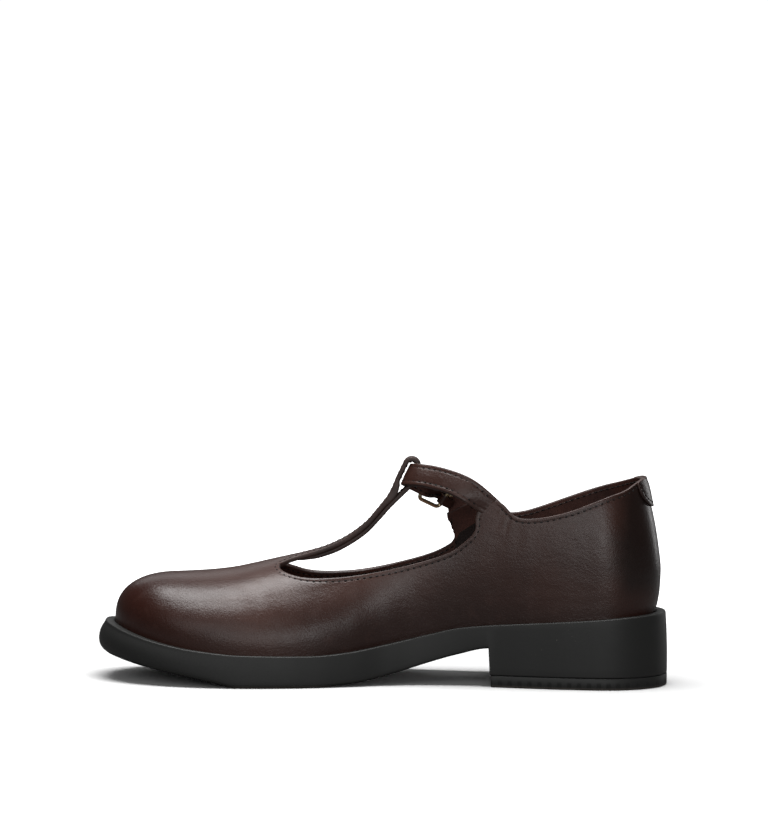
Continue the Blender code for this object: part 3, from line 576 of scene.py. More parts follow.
def between(around, levels):
    """Faces between rings that lie over one another."""
    faces = []
    for k in range(levels - 1):
        for i in range(around):
            j = (i + 1) % around
            faces.append([k * around + j, k * around + i, (k + 1) * around + i, (k + 1) * around + j])
    return faces


def loft(rings):
    """Closed skin through rings of equal length, from the one underneath to the one inside the top."""
    count = len(rings[0])
    faces = across(count, 0, False) + across(count, (len(rings) - 1) * count, True)
    return np.vstack(rings), faces + between(count, len(rings))


# Shader building.


class Tone:
    """A value or colour in a material; arithmetic on it adds Math nodes."""

    def __init__(self, finish, socket):
        self.finish = finish
        self.socket = socket

    def math(self, operation, first, second=0.0):
        return self.finish.node("ShaderNodeMath", {"operation": operation}, {0: first, 1: second})

    def __add__(self, other):
        return self.math("ADD", self, other)

    __radd__ = __add__

    def __sub__(self, other):
        return self.math("SUBTRACT", self, other)

    def __rsub__(self, other):
        return self.math("SUBTRACT", other, self)

    def __mul__(self, other):
        return self.math("MULTIPLY", self, other)

    __rmul__ = __mul__

    def __pow__(self, other):
        return self.math("POWER", self, other)

    def sine(self):
        return self.math("SINE", self)

    def within(self, low, high):
        """0 below low to 1 above high, smoothly; the other way round if high is the smaller."""
        settings = {"interpolation_type": "SMOOTHSTEP"}
        inputs = {0: self, 1: low, 2: high, 3: 0.0, 4: 1.0}
        return self.finish.node("ShaderNodeMapRange", settings, inputs)


class Finish:
    """One material, built node by node."""

    def __init__(self, name, colour, roughness, metallic=0.0, **constants):
        self.material = bpy.data.materials.new(name)
        self.material.use_nodes = True
        self.tree = self.material.node_tree
        self.shader = self.tree.nodes["Principled BSDF"]
        self.set("Base Color", (*colour, 1.0))
        self.set("Roughness", roughness)
        self.set("Metallic", metallic)
        for name, value in constants.items():
            self.set(name.replace("_", " ").title().replace("Ior", "IOR"), value)
        self.material.diffuse_color = (*colour, 1.0)
        place_node = self.tree.nodes.new("ShaderNodeTexCoord")
        self.spot = Tone(self, place_node.outputs["Object"])

    def set(self, name, value):
        socket = self.shader.inputs[name]
        if isinstance(value, Tone):
            self.tree.links.new(value.socket, socket)
        else:
            socket.default_value = value

    def node(self, kind, settings, inputs, output=0):
        made = self.tree.nodes.new(kind)
        for name, value in settings.items():
            setattr(made, name, value)
        for name, value in inputs.items():
            if isinstance(value, Tone):
                self.tree.links.new(value.socket, made.inputs[name])
            else:
                made.inputs[name].default_value = value
        return Tone(self, made.outputs[output])

    def axis(self, name):
        return self.node("ShaderNodeSeparateXYZ", {}, {0: self.spot}, name)

    def stretched(self, scale, turn=(0.0, 0.0, 0.0)):
        return self.node("ShaderNodeMapping", {}, {0: self.spot, "Scale": scale, "Rotation": turn})

    def noise(self, scale, detail=3.0, rough=0.5, at=None):
        inputs = {"Vector": at or self.spot, "Scale": scale, "Detail": detail, "Roughness": rough}
        return self.node("ShaderNodeTexNoise", {}, inputs)

    def cells(self, scale, feature="F1"):
        inputs = {"Vector": self.spot, "Scale": scale}
        return self.node("ShaderNodeTexVoronoi", {"feature": feature}, inputs)

    def blend(self, factor, first, second):
        colours = [c if isinstance(c, Tone) else (*c, 1.0) for c in (first, second)]
        inputs = {0: factor, 6: colours[0], 7: colours[1]}
        return self.node("ShaderNodeMix", {"data_type": "RGBA"}, inputs, 2)

    def relief(self, height, distance, strength=1.0):
        inputs = {"Height": height, "Distance": distance * MM, "Strength": strength}
        self.set("Normal", self.node("ShaderNodeBump", {}, inputs))


def leather(name, colours, roughness=0.32):
    """Smooth polished leather: cloudy dye, a toe rubbed redder, painted shade low on the quarters and a
    painted dark reflection band round the heel, fine broken grain.
    """
    gloss = {"specular_ior_level": 0.45, "coat_weight": 0.2, "coat_roughness": 0.3}
    paint = Finish(name, colours.leather, roughness, **gloss)
    x = paint.axis("X")
    z = paint.axis("Z")
    cloud = paint.noise(22.0, 3.0, 0.55)
    mottle = paint.noise(160.0, 3.0, 0.65)
    streak = paint.noise(60.0, 3.0, 0.6, paint.stretched((0.35, 1.0, 1.6)))
    toe = x.within(0.158, 0.214)
    # Heel mask: a painted dark reflection band round the back of the heel.
    heel = (x + (cloud - 0.5) * 0.02).within(-0.006, -0.019) * z.within(0.036, 0.05)
    # Low mask: painted shade, darker towards the sole on the quarters from the heel to the waist.
    low = z.within(0.05, 0.026) * 0.5 * x.within(0.16, 0.1)
    # Mask of the toe rubbed redder, plus the painted shade of the low mask and random clouds.
    burnish_and_shade = paint.node("ShaderNodeClamp", {}, {0: toe + low + (cloud - 0.5) * 0.6})
    dye = paint.blend(cloud.within(0.3, 0.72), colours.leather, colours.leather_light)
    dye = paint.blend(burnish_and_shade, dye, colours.burnish_and_shade)
    # Painted shade low on the quarters, in the dark brown of painted shade.
    dye = paint.blend(low * 0.8, dye, colours.painted_shade_brown)
    dye = paint.blend(mottle.within(0.52, 0.8) * 0.35, dye, colours.leather_light)
    dye = paint.blend(streak.within(0.5, 0.75) * 0.45, dye, colours.burnish_and_shade)
    # Painted dark reflection band round the heel, in the dark brown of painted shade.
    paint.set("Base Color", paint.blend(heel * 0.85, dye, colours.painted_shade_brown))
    paint.set("Roughness", roughness - 0.1 + mottle * 0.18 + streak * 0.06)
    paint.set("Coat Weight", 0.1 + toe * 0.1)
    pores = paint.cells(1700.0)
    grain = paint.noise(1150.0, 3.0, 0.7)
    break_up = paint.cells(760.0, feature="SMOOTH_F1")
    wrinkles = paint.noise(85.0, 4.0, 0.6, paint.stretched((1.0, 1.0, 2.2), (0.0, 0.7, 0.0)))
    waves = paint.noise(30.0, 2.0, 0.5, paint.stretched((1.0, 0.6, 1.6)))
    height = grain * 0.42 + pores * 0.22 + break_up * 0.28 + wrinkles * 0.9 + waves * 2.2
    paint.relief(height, 0.17, 0.9)
    return paint.material


def plain_leather(name, colour, roughness, pore=1100.0):
    """Unpolished lining or edge leather, also in the dark colours of painted shade for needle holes and
    deep in the lining.
    """
    paint = Finish(name, colour, roughness)
    cloud = paint.noise(60.0, 3.0, 0.6)
    dark = [c * 0.62 for c in colour]
    light = [min(1.0, c * 1.3) for c in colour]
    paint.set("Base Color", paint.blend(cloud.within(0.3, 0.7), dark, light))
    paint.relief(paint.noise(pore, 4.0, 0.6) + paint.cells(pore * 1.4) * 0.4, 0.12, 0.8)
    return paint.material


def rubber(name, colours, tread):
    """Moulded black rubber: satin, with light scuffs, a few pale specks of dirt and a pale band near
    the floor that is a painted reflection of the floor.
    """
    paint = Finish(name, colours.rubber, 0.5, specular_ior_level=0.4)
    z = paint.axis("Z")
    cloud = paint.noise(30.0, 4.0, 0.6)
    patches = paint.noise(22.0, 2.0, 0.5).within(0.55, 0.7)
    specks = paint.noise(700.0, 2.0, 0.5).within(0.73, 0.78) * patches
    scuffs = paint.noise(55.0, 5.0, 0.75, paint.stretched((0.4, 1.0, 3.0))).within(0.62, 0.85)
    # Pale band within about a millimetre of the floor: a painted reflection of the floor, in the colour
    # of the specks.
    foot = z.within(0.0012, 0.0002)
    colour = paint.blend(scuffs * 0.35, colours.rubber, colours.rubber_worn)
    colour = paint.blend(specks * 0.6, colour, colours.dust_and_reflection)
    paint.set("Base Color", paint.blend(foot * 0.5, colour, colours.dust_and_reflection))
    paint.set("Roughness", 0.44 + cloud * 0.16 + scuffs * 0.1)
    height = paint.noise(1400.0, 3.0, 0.6) * 0.3 + paint.noise(160.0, 3.0, 0.5) * 0.5
    if tread:
        x = paint.axis("X")
        ribs = ((x * 1400.0).sine() * 0.5 + 0.5).within(0.55, 0.75)
        height = height - ribs * paint.axis("Z").within(0.0035, 0.0005) * 6.0
    paint.relief(height, 0.1, 0.6)
    return paint.material


def metal(name, colour):
    """Plated metal with faint polishing marks."""
    paint = Finish(name, colour, 0.3, 1.0)
    marks = paint.noise(900.0, 3.0, 0.6, paint.stretched((1.0, 1.0, 6.0)))
    paint.set("Roughness", 0.24 + marks * 0.16)
    paint.relief(marks, 0.02, 0.5)
    return paint.material


def elastic(name, colour):
    """Ribbed elastic webbing."""
    paint = Finish(name, colour, 0.7, sheen_weight=0.25, sheen_roughness=0.4)
    weave = paint.cells(2600.0)
    # Lighter on the weave's raised bits and darker in its hollows, following the bump: painted light
    # and shade.
    light = [min(1.0, c * 1.6) for c in colour]
    paint.set("Base Color", paint.blend(weave, [c * 0.6 for c in colour], light))
    paint.relief(weave, 0.1, 0.8)
    return paint.material


def thread(name, colour):
    """Waxed sewing thread."""
    paint = Finish(name, colour, 0.6)
    twist = paint.noise(3000.0, 2.0, 0.5)
    # Darker in the twist's hollows and lighter on its ridges, following the bump: painted light and
    # shade.
    paint.set("Base Color", paint.blend(twist, [c * 0.6 for c in colour], [c * 1.4 for c in colour]))
    paint.relief(twist, 0.05, 0.6)
    return paint.material


# Mesh building.


def mesh_piece(name, points, faces, materials, slots=None):
    """Smooth mesh object from points in millimetres."""
    mesh = bpy.data.meshes.new(name)
    places = [tuple(p) for p in np.asarray(points) * MM]
    mesh.from_pydata(places, [], [[int(v) for v in f] for f in faces])
    for material in materials:
        mesh.materials.append(material)
    if slots is not None:
        mesh.polygons.foreach_set("material_index", np.asarray(slots, np.int32))
    mesh.shade_smooth()
    obj = bpy.data.objects.new(name, mesh)
    bpy.context.scene.collection.objects.link(obj)
    return obj


def dress(obj, slot, *nodes):
    """Rides on the shoe and stands for CAD nodes; the slot argument is not used."""
    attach(obj, "root")
    if nodes:
        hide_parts(*nodes)


class Sheet:
    """Open sheet of points and faces, made thick with a rounded rim."""

    def __init__(self):
        self.points = []
        self.faces = []
        self.full = None

    def add(self, point):
        self.points.append(np.asarray(point, float))
        return len(self.points) - 1

    def patch(self, grid, flip=False):
        for a, b in zip(grid, grid[1:]):
            for j in range(len(a) - 1):
                face = list(dict.fromkeys([a[j], b[j], b[j + 1], a[j + 1]]))
                if len(face) > 2:
                    self.faces.append(face[::-1] if flip else face)

    def measure(self):
        """Works out point normals, the rim's edges and the directions that lead off the sheet there."""
        self.at = np.array(self.points)
        normals = np.zeros_like(self.at)
        owner = {}
        for face in self.faces:
            corners = self.at[face]
            normal = np.cross(corners[1] - corners[0], corners[2] - corners[0])
            if len(face) == 4:
                normal = np.cross(corners[2] - corners[0], corners[3] - corners[1])
            normals[face] += normal
            for a, b in zip(face, face[1:] + face[:1]):
                owner[(a, b)] = normal
        self.normals = unit(normals)
        self.rim = [edge for edge in owner if edge[::-1] not in owner]
        self.off = np.zeros_like(self.at)
        for a, b in self.rim:
            way = unit(np.cross(self.at[b] - self.at[a], unit(owner[(a, b)])))
            self.off[a] += way
            self.off[b] += way
        self.off = unit(self.off)
        if self.full is None:
            self.full = np.ones(len(self.at))

    def from_rim(self, keep=None):
        """Distance of every point to the nearest rim point."""
        ids = sorted({v for edge in self.rim for v in edge if keep is None or keep(v)})
        tree = KDTree(len(ids))
        for v in ids:
            tree.insert(Vector(self.at[v]), v)
        tree.balance()
        return np.array([tree.find(Vector(p))[2] for p in self.at])

    def thick(self, name, above, below, bulge, materials, relief=None, rim_rows=6, deep=None):
        """Piece with an outer face, an inner face and a rounded rim; materials are outer, inner, rim.

        A fourth material covers the inner face between the points in deep.
        """
        lift_by = above if relief is None else (above + relief)[:, None]
        outer = self.at + self.normals * lift_by
        inner = self.at - self.normals * (below * self.full)[:, None]
        count = len(outer)
        ids = sorted({v for edge in self.rim for v in edge})
        order = {v: k for k, v in enumerate(ids)}
        points = [outer, inner]
        middle = (outer[ids] + inner[ids]) / 2
        half = (outer[ids] - inner[ids]) / 2
        for k in range(1, rim_rows):
            turn = math.pi * k / rim_rows
            points.append(middle + half * math.cos(turn) + self.off[ids] * bulge * math.sin(turn))
        faces = list(self.faces) + [[v + count for v in face[::-1]] for face in self.faces]
        slots = [0] * len(self.faces)
        slots += [3 if deep and deep.issuperset(face) else 1 for face in self.faces]

        def row(v, k):
            if k == 0:
                return v
            if k == rim_rows:
                return v + count
            return 2 * count + (k - 1) * len(ids) + order[v]

        for a, b in self.rim:
            for k in range(rim_rows):
                faces.append([row(b, k), row(a, k), row(a, k + 1), row(b, k + 1)])
                slots.append(2)
        return mesh_piece(name, np.vstack(points), faces, materials, slots)


def roll_relief(distance, sizes):
    """Rolled edge with a groove where the stitches lie."""
    groove = sizes.groove * np.exp(-(((distance - sizes.inset) / 0.42) ** 2))
    roll = sizes.roll * np.exp(-(((distance - 0.8) / 0.6) ** 2))
    return roll - groove


def crease_relief(points):
    """Soft troughs and the ridges beside them."""
    height = np.zeros(len(points))
    for share, high, side, reach, turn, depth, wide in CREASES:
        x = float(place(share))
        centre = skin(x, float(lift(x, high)), side)
        d = points - centre
        c = math.cos(math.radians(turn))
        s = math.sin(math.radians(turn))
        along = d[:, 0] * c + d[:, 2] * s
        over = d[:, 2] * c - d[:, 0] * s + 0.03 * along**2
        near = np.exp(-((along / reach) ** 4)) * (np.abs(d[:, 1]) < 12)
        trough, above, below = [np.exp(-((over / wide - k) ** 2)) for k in (0.0, 1.7, -1.7)]
        height += depth * near * (0.45 * (above + below) - trough)
    return height


def bead(middle, along, up, length, thick, sides, rings):
    """Rounded grain of thread, or a round dark bead as long as thick that paints a needle hole's shade.
    """
    across_way = np.cross(up, along)
    points = [middle - along * length / 2]
    for k in range(1, rings):
        turn = math.pi * k / rings
        ring_at = middle - along * length / 2 * math.cos(turn)
        for j in range(sides):
            spin = 2 * math.pi * j / sides
            round_way = across_way * math.cos(spin) + up * math.sin(spin)
            points.append(ring_at + round_way * thick / 2 * math.sin(turn) ** 0.6)
    points.append(middle + along * length / 2)
    faces = []
    for j in range(sides):
        n = (j + 1) % sides
        faces.append([0, 1 + n, 1 + j])
        for k in range(rings - 2):
            a = 1 + k * sides
            faces.append([a + j, a + n, a + sides + n, a + sides + j])
        last = 1 + (rings - 2) * sides
        faces.append([last + j, last + n, len(points) - 1])
    return points, faces


# Beads of a stitch row, as rise, length, thickness, sides and rings: the stitch, whose length is
# a share of the pitch, and the needle hole, a dark bead of painted shade where no hole is cut.
STITCH = (0.02, 0.68, 0.46, 6, 6)
HOLE = (0.06, 1.35, 0.78, 8, 5)


def stitch_row(name, path, normals, sizes, materials, slot):
    """Stitches along a path with a dark bead of painted shade for a needle hole between each two."""
    steps = np.linalg.norm(np.diff(path, axis=0), axis=1)
    reach = np.concatenate([[0], np.cumsum(steps)])
    count = max(2, int(round(reach[-1] / sizes.pitch)))
    points = []
    faces = []
    slots = []

    def at(distance):
        spot = np.array([np.interp(distance, reach, path[:, k]) for k in range(3)])
        up = unit(np.array([np.interp(distance, reach, normals[:, k]) for k in range(3)]))
        return spot, up

    for k in range(count):
        for part, share in ((0, 0.5), (1, 1.0)):
            distance = (k + share) * reach[-1] / count
            spot, up = at(distance)
            ahead, behind = at(distance + 0.3)[0], at(distance - 0.3)[0]
            along = ahead - behind
            along = unit(along - up * np.dot(along, up))
            rise, length, thick, sides, rings = HOLE if part else STITCH
            length *= 1 if part else sizes.pitch
            made, skin_faces = bead(spot + up * rise, along, up, length, thick, sides, rings)
            first = len(points)
            points += made
            faces += [[v + first for v in face] for face in skin_faces]
            slots += [part] * len(skin_faces)
    dress(mesh_piece(name, points, faces, materials, slots), slot)


def follow(sheet, ids, inset, surface):
    """Path on the sheet beside a chain of its rim points."""
    path = []
    normals = []
    for v in ids:
        spot = sheet.at[v] - sheet.off[v] * inset
        hit, normal, _, _ = surface.find_nearest(Vector(spot))
        path.append(np.array(hit))
        normals.append(np.array(normal))
    path = np.array(path)
    normals = np.array(normals)
    for _ in range(4):
        path[1:-1] = (path[:-2] + 2 * path[1:-1] + path[2:]) / 4
    keep = np.concatenate([[True], np.linalg.norm(np.diff(path, axis=0), axis=1) > 0.02])
    return path[keep], unit(normals[keep])


# Forms of the upper.

# Distances from an edge and from the window's front, and shares of the bar's half width, at which
# points lie, so that the mesh is fine where the stitches' groove runs.
EDGE_STEPS = np.array([3.6, 3.0, 2.5, 2.1, 1.8, 1.5, 1.1, 0.7, 0.35, 0.0])
BY_BAR = np.array([0.5, 1.0, 1.5, 1.9, 2.3, 2.8, 3.5, 4.4, 5.6, 7.2])
BAR_SHARES = np.array([1.0, 0.95, 0.9, 0.85, 0.8, 0.75, 0.7, 0.65, 0.58, 0.48, 0.3, 0.0])
EDGE_STEP = 1.2
FOLD_STEP = 1.0

# Where the walls start to follow the arch, and the height by which the vamp's rows are shared out.
ARCH_FROM = 0.6
VAMP_WALL = 42.0

# Rows of points: up a wall, of lining in its own colour by its edge, from wall to bar, from the
# window's front to the lining darkened as painted shade, and at the end of the fold's edge, where
# no stitches show.
WALL_ROWS = 26
LINING_ROWS = 12
SHOULDER_ROWS = 8
THROAT_ROWS = 9
HIDDEN_ROWS = 12


def edge_rows(table):
    """Rows of an edge in millimetres: foot, place and height of its top, sharp turn."""
    out = []
    for foot, top, share, turn in table:
        x = float(place(top))
        out.append((float(place(foot)), x, float(lift(x, share)), turn))
    return out


def inside_cup(x, side):
    """Foot of the wall, under the rim in the sole's cup."""
    return [x, float(feather(x, side)), float(rim_top(x)) - CUP_DEPTH + SEAT_GAP]


def wall_shares(height):
    """Shares of a column's height, closer together by its edge."""
    fine = 1 - EDGE_STEPS / height
    return np.concatenate([np.linspace(0, fine[0], WALL_ROWS)[:-1], fine])


def wall_column(foot, top_x, top_z, side):
    """Points from the cup to an edge; the vamp's columns follow the arch, so that they meet it."""
    base = float(rim_top(foot))
    if foot > place(ARCH_FROM):
        points = arch_point(foot, float(rise_of(top_x, top_z)) * wall_shares(VAMP_WALL), side)
    else:
        t = wall_shares(top_z - base)
        points = skin(foot + (top_x - foot) * t**4, base + (top_z - base) * t, side)
    return np.vstack([[inside_cup(foot, side)], points])


def tail_rows(bar):
    """Rear face of the fold's tail: crown, share of the wall and place, a clearance under the bar."""
    crowns, walls, xs, zs = bar[::-1, 1:5].T
    rows = []
    for share, thick in TAIL:
        x = float(place(share))
        z = np.interp([x - 0.5, x, x + 0.5], xs, zs)
        under = unit([z[2] - z[0], -1.0])
        away = np.interp(x, xs, walls) * WALL + TAIL_GAP + thick * WALL
        crown = np.interp(x, xs, crowns)
        rows.append((crown, thick, x + under[0] * away, z[1] + under[1] * away, 0))
    return rows


def fold_path(step):
    """Outer face of the T-bar from the window's front, over the strap and down to the tail's end.

    Its columns are half width, crown, x, z and the share of the wall.
    """
    bar = []
    for share, high, wide, crown, thick in BAR:
        x = float(place(share))
        bar.append((wide * BAR_WIDE, crown, thick, x, float(lift(x, high)), 0))
    bar = smooth_curve(bar, step)
    lean = np.radians(LOOP_LEAN)
    up = np.array([-np.cos(lean), np.sin(lean)])
    out = np.array([np.sin(lean), np.cos(lean)])
    x = float(place(LOOP[0]))
    middle = np.array([x, float(lift(x, LOOP[1]))])
    turn = middle + up * (STRAP_WIDE / 2 - 0.5)
    leg = [middle + out * LOOP_R + up * STRAP_WIDE * s for s in np.linspace(-0.4, 0.45, 11)]
    arc = np.linspace(0.05, np.pi - 0.05, 25)
    leg += [turn + LOOP_R * (out * np.cos(a) + up * np.sin(a)) for a in arc]
    leg += [middle - out * LOOP_R + up * STRAP_WIDE * s for s in np.linspace(0.36, -0.45, 10)]
    tail = smooth_curve([(0.0, 1.0, *leg[-1], 0)] + tail_rows(bar), step)[1:]
    rows = [(LOOP_HALF, 0.0, *p, 1.0) for p in leg]
    rows += [(TAIL_HALF, crown, x, z, thick) for crown, thick, x, z in tail]
    return np.vstack([bar[:, [0, 1, 3, 4, 2]], rows])


def corner_ids(edge, table):
    """Places in an edge curve of the two ends of its ear."""
    ids = []
    for row in [r for r in edge_rows(table) if r[3] == 1][:2]:
        ids.append(int(np.argmin(np.linalg.norm(edge - np.array(row[:3]), axis=1))))
    return ids


def upper_sheet():
    """Vamp, quarters and T-bar as one fine sheet, with the chains of points along its edges."""
    sheet = Sheet()
    last = {}
    edge_rise = {}
    collar = {}
    chains = {"deep": set()}
    for side, table in ((1, MEDIAL_EDGE), (-1, LATERAL_EDGE)):
        edge = smooth_curve(edge_rows(table), EDGE_STEP)
        grid = []
        for i, (foot, top_x, top_z) in enumerate(edge):
            if i == 0 and side == -1:
                grid.append(seam)
                continue
            grid.append([sheet.add(p) for p in wall_column(foot, top_x, top_z, side)])
        if side == 1:
            seam = grid[0]
        sheet.patch(grid, side == 1)
        last[side] = grid[-1]
        edge_rise[side] = float(rise_of(edge[-1][1], edge[-1][2]))
        first, second = corner_ids(edge, table)
        tops = [column_ids[-1] for column_ids in grid]
        # Points below the collar's band get the lining darkened as painted shade.
        for column_ids in grid:
            chains["deep"].update(column_ids[:-LINING_ROWS])
        collar[side] = tops[: first + 1]
        chains[side] = tops[second:]
        chains["ear", side] = tops[first : second + 1]
    chains["collar"] = collar[1][::-1] + collar[-1][1:]

    path = fold_path(FOLD_STEP)
    tip = float(path[0][2])
    near = tip + BY_BAR
    toe = stations(4, 2.4, 34)
    toe = np.concatenate([near, toe[toe > near[-1] + 1.2]])
    ridge = [sheet.add(arch_point(tip, 1.0, 1))]
    ridge += [sheet.add(arch_point(x, 1.0, 1)) for x in toe[:-1]]
    tip_points = [sheet.add(inside_cup(TOE_X, 1)), sheet.add(arch_point(TOE_X, 0.0, 1))]
    ridge.append(tip_points[1])
    shoulder = {}
    for side in (1, -1):
        span = abs(float(feather(tip, side)) - float(ridge_side(tip)))
        round_by = roundness(tip)
        q = (1 - (path[0][0] * BAR_SHARES[:-1] / span) ** round_by) ** (1 / round_by)
        over = rise_of(tip, rim_top(tip) + (ridge_top(tip) - rim_top(tip)) * q)
        rises = list(np.linspace(edge_rise[side], over[0], SHOULDER_ROWS + 1)[1:]) + list(over[1:])
        grid = [last[side] + [sheet.add(arch_point(tip, r, side)) for r in rises]]
        wall_rises = edge_rise[side] * wall_shares(VAMP_WALL)
        for x in toe[:-1]:
            points = arch_point(x, np.concatenate([wall_rises, rises]), side)
            grid.append([sheet.add(inside_cup(x, side))] + [sheet.add(p) for p in points])
        grid.append([tip_points[0]] + [tip_points[1]] * (len(grid[0]) - 1))
        bar_start = len(last[side]) + SHOULDER_ROWS - 1
        shoulder[side] = grid[0][bar_start:]
        chains[side] = chains[side] + grid[0][len(last[side]) : bar_start]
        # The throat's rows also get the lining darkened as painted shade.
        for row in grid[THROAT_ROWS:]:
            chains["deep"].update(row)
        sheet.patch([row + [end] for row, end in zip(grid, ridge)], side == 1)

    bar = [[*shoulder[1], ridge[0], *shoulder[-1][::-1]]]
    shares = np.concatenate([BAR_SHARES, -BAR_SHARES[-2::-1]])
    sheet.full = np.ones(len(sheet.points))
    for half, crown, x, z, thick in path[1:]:
        drop = crown * BAR_DROP * (half * shares / BAR_WIDE) ** 2
        bar.append([sheet.add([x, half * s, z - d]) for s, d in zip(shares, drop)])
        sheet.full = np.append(sheet.full, np.full(len(shares), thick))
    sheet.patch(bar)
    for side, end in ((1, 0), (-1, -1)):
        chains["bar", side] = [row[end] for row in bar]
    sheet.measure()
    return sheet, chains


def ear(table, side):
    """The two corners of an ear and its outward direction."""
    a, b = [r for r in edge_rows(table) if r[3] == 1][:2]
    normal = skin_normal((a[1] + b[1]) / 2, (a[2] + b[2]) / 2, side)
    return skin(a[1], a[2], side), skin(b[1], b[2], side), normal


def buckle_axes():
    """Middle of the buckle, and directions along the strap, across it and outward."""
    x = float(place(BUCKLE[0]))
    middle = np.array([x, BUCKLE[1] * HALF, float(lift(x, BUCKLE[2]))])
    along = unit(BUCKLE_ALONG)
    wide = unit(np.array(BUCKLE_ACROSS) - along * np.dot(BUCKLE_ACROSS, along))
    return middle, along, wide, np.cross(wide, along)


def ribbon(points, wides, normals, widths, crosses):
    """Sheet along a middle line, with the shares of its width that are given."""
    sheet = Sheet()
    grid = []
    for p, w, width in zip(points, wides, widths):
        shares = [math.copysign(max(0.0, width / 2 - d), s) for s, d in crosses]
        grid.append([sheet.add(p + w * k) for k in shares])
    corner = [sheet.points[grid[0][0]], sheet.points[grid[1][0]], sheet.points[grid[0][-1]]]
    sheet.patch(grid, np.dot(np.cross(corner[1] - corner[0], corner[2] - corner[0]), normals[0]) < 0)
    sheet.measure()
    return sheet, grid


def cross_places(half):
    """Distances from a strip's edges at which its rows of points lie."""
    steps = [d for d in (0.0, 0.35, 0.7, 1.1, 1.5, 1.8, 2.1, 2.5, 3.1) if d < half - 0.4]
    steps += list(np.linspace(steps[-1], half, 4)[1:-1])
    return [(1, d) for d in steps] + [(1, half)] + [(-1, d) for d in steps[::-1]]


def strap_line():
    """Points, width directions, outward directions and widths along the strap."""
    a, b, normal = ear(MEDIAL_EDGE, 1)
    rows = []
    for share, side, high, nx, ny, nz, wide in STRAP:
        x = float(place(share))
        rows.append([x, side * HALF, float(lift(x, high)), nx, ny, nz, wide])
    start = (a + b) / 2 - normal * (STRAP_THICK / 2 - ROOT_PROUD)
    lead = unit(np.array(rows[0][:3]) - start)
    for onward, wide in STRAP_ROOT:
        rows.insert(0, [*(start + lead * onward), *normal, wide])
    middle, along, wide_way, out = buckle_axes()
    for s, rise in STRAP_BUCKLE:
        p = middle + along * s * FRAME_LONG + out * rise * (HIGH_LIFT if rise > 0 else LOW_LIFT)
        rows.append([*p, *out, 1.0])
    for share, high, rise, wide in STRAP_TIP:
        x = float(place(share))
        z = float(lift(x, high))
        n = skin_normal(x, z, -1)
        rows.append([*(skin(x, z, -1) + n * rise * HIGH_LIFT), *n, wide])
    table = smooth_curve([(*r[3:], *r[:3], 0) for r in rows], STRAP_STEP)
    points = table[:, 4:7]
    way = unit(np.gradient(points, axis=0))
    normals = unit(table[:, 0:3] - way * np.sum(table[:, 0:3] * way, axis=1)[:, None])
    wides = np.cross(way, normals)
    root = unit(a - b)
    root = unit(root - normals[0] * np.dot(root, normals[0]))
    root = root if np.dot(root, wides[3]) > 0 else -root
    for k in range(ROOT_TWIST):
        mix = (1 - k / ROOT_TWIST) ** 1.5
        wides[k] = unit(wides[k] * (1 - mix) + root * mix)
    return points, wides, normals, table[:, 3] * STRAP_WIDE


def tube(name, path, radius, closed, sides, materials):
    """Round bar along a path with rounded ends."""
    path = np.asarray(path, float)
    if closed:
        way = unit(np.roll(path, -1, axis=0) - np.roll(path, 1, axis=0))
    else:
        way = unit(np.gradient(path, axis=0))
    up = unit(np.cross(way[0], [0.3, 0.5, 0.8]))
    points = []
    sizes = np.full(len(path), radius)
    if not closed:
        ends = radius * np.sin(np.linspace(0.35, np.pi / 2, 4))
        lead = radius * (1 - np.cos(np.linspace(0.35, np.pi / 2, 4)))[::-1]
        front = [path[0] - way[0] * (radius * 0.9 - d) for d in lead[::-1]]
        back = [path[-1] + way[-1] * (radius * 0.9 - d) for d in lead]
        path = np.vstack([front, path[1:-1], back])
        sizes = np.concatenate([ends, np.full(len(path) - 8, radius), ends[::-1]])
        way = unit(np.gradient(path, axis=0))
    for k, p in enumerate(path):
        up = unit(up - way[k] * np.dot(up, way[k]))
        side = np.cross(way[k], up)
        for j in range(sides):
            turn = 2 * math.pi * j / sides
            points.append(p + sizes[k] * (up * math.cos(turn) + side * math.sin(turn)))
    faces = []
    rows = len(path)
    for k in range(rows if closed else rows - 1):
        n = (k + 1) % rows
        for j in range(sides):
            m = (j + 1) % sides
            faces.append([k * sides + j, k * sides + m, n * sides + m, n * sides + j])
    if not closed:
        faces.append(list(range(sides))[::-1])
        faces.append([(rows - 1) * sides + j for j in range(sides)])
    return mesh_piece(name, points, faces, materials)


# Sizes and colours that a user may change.


def millimetres(name, description, default):
    return bpy.props.FloatProperty(name=name, description=description, default=default)


def shade(name, description, *rgb):
    looks = {"name": name, "description": description, "subtype": "COLOR"}
    return bpy.props.FloatVectorProperty(default=rgb, **looks)


class ShoeSizes(bpy.types.PropertyGroup):
    """Sizes of the shoe's fine work, in millimetres."""

    pitch: millimetres("Stitch pitch", "From one needle hole to the next", 2.9)
    inset: millimetres("Stitch inset", "From an edge to its stitch row", 1.7)
    groove: millimetres("Groove", "Depth of the stitch row's groove", 0.12)
    roll: millimetres("Roll", "Height of the rolled edge", 0.05)


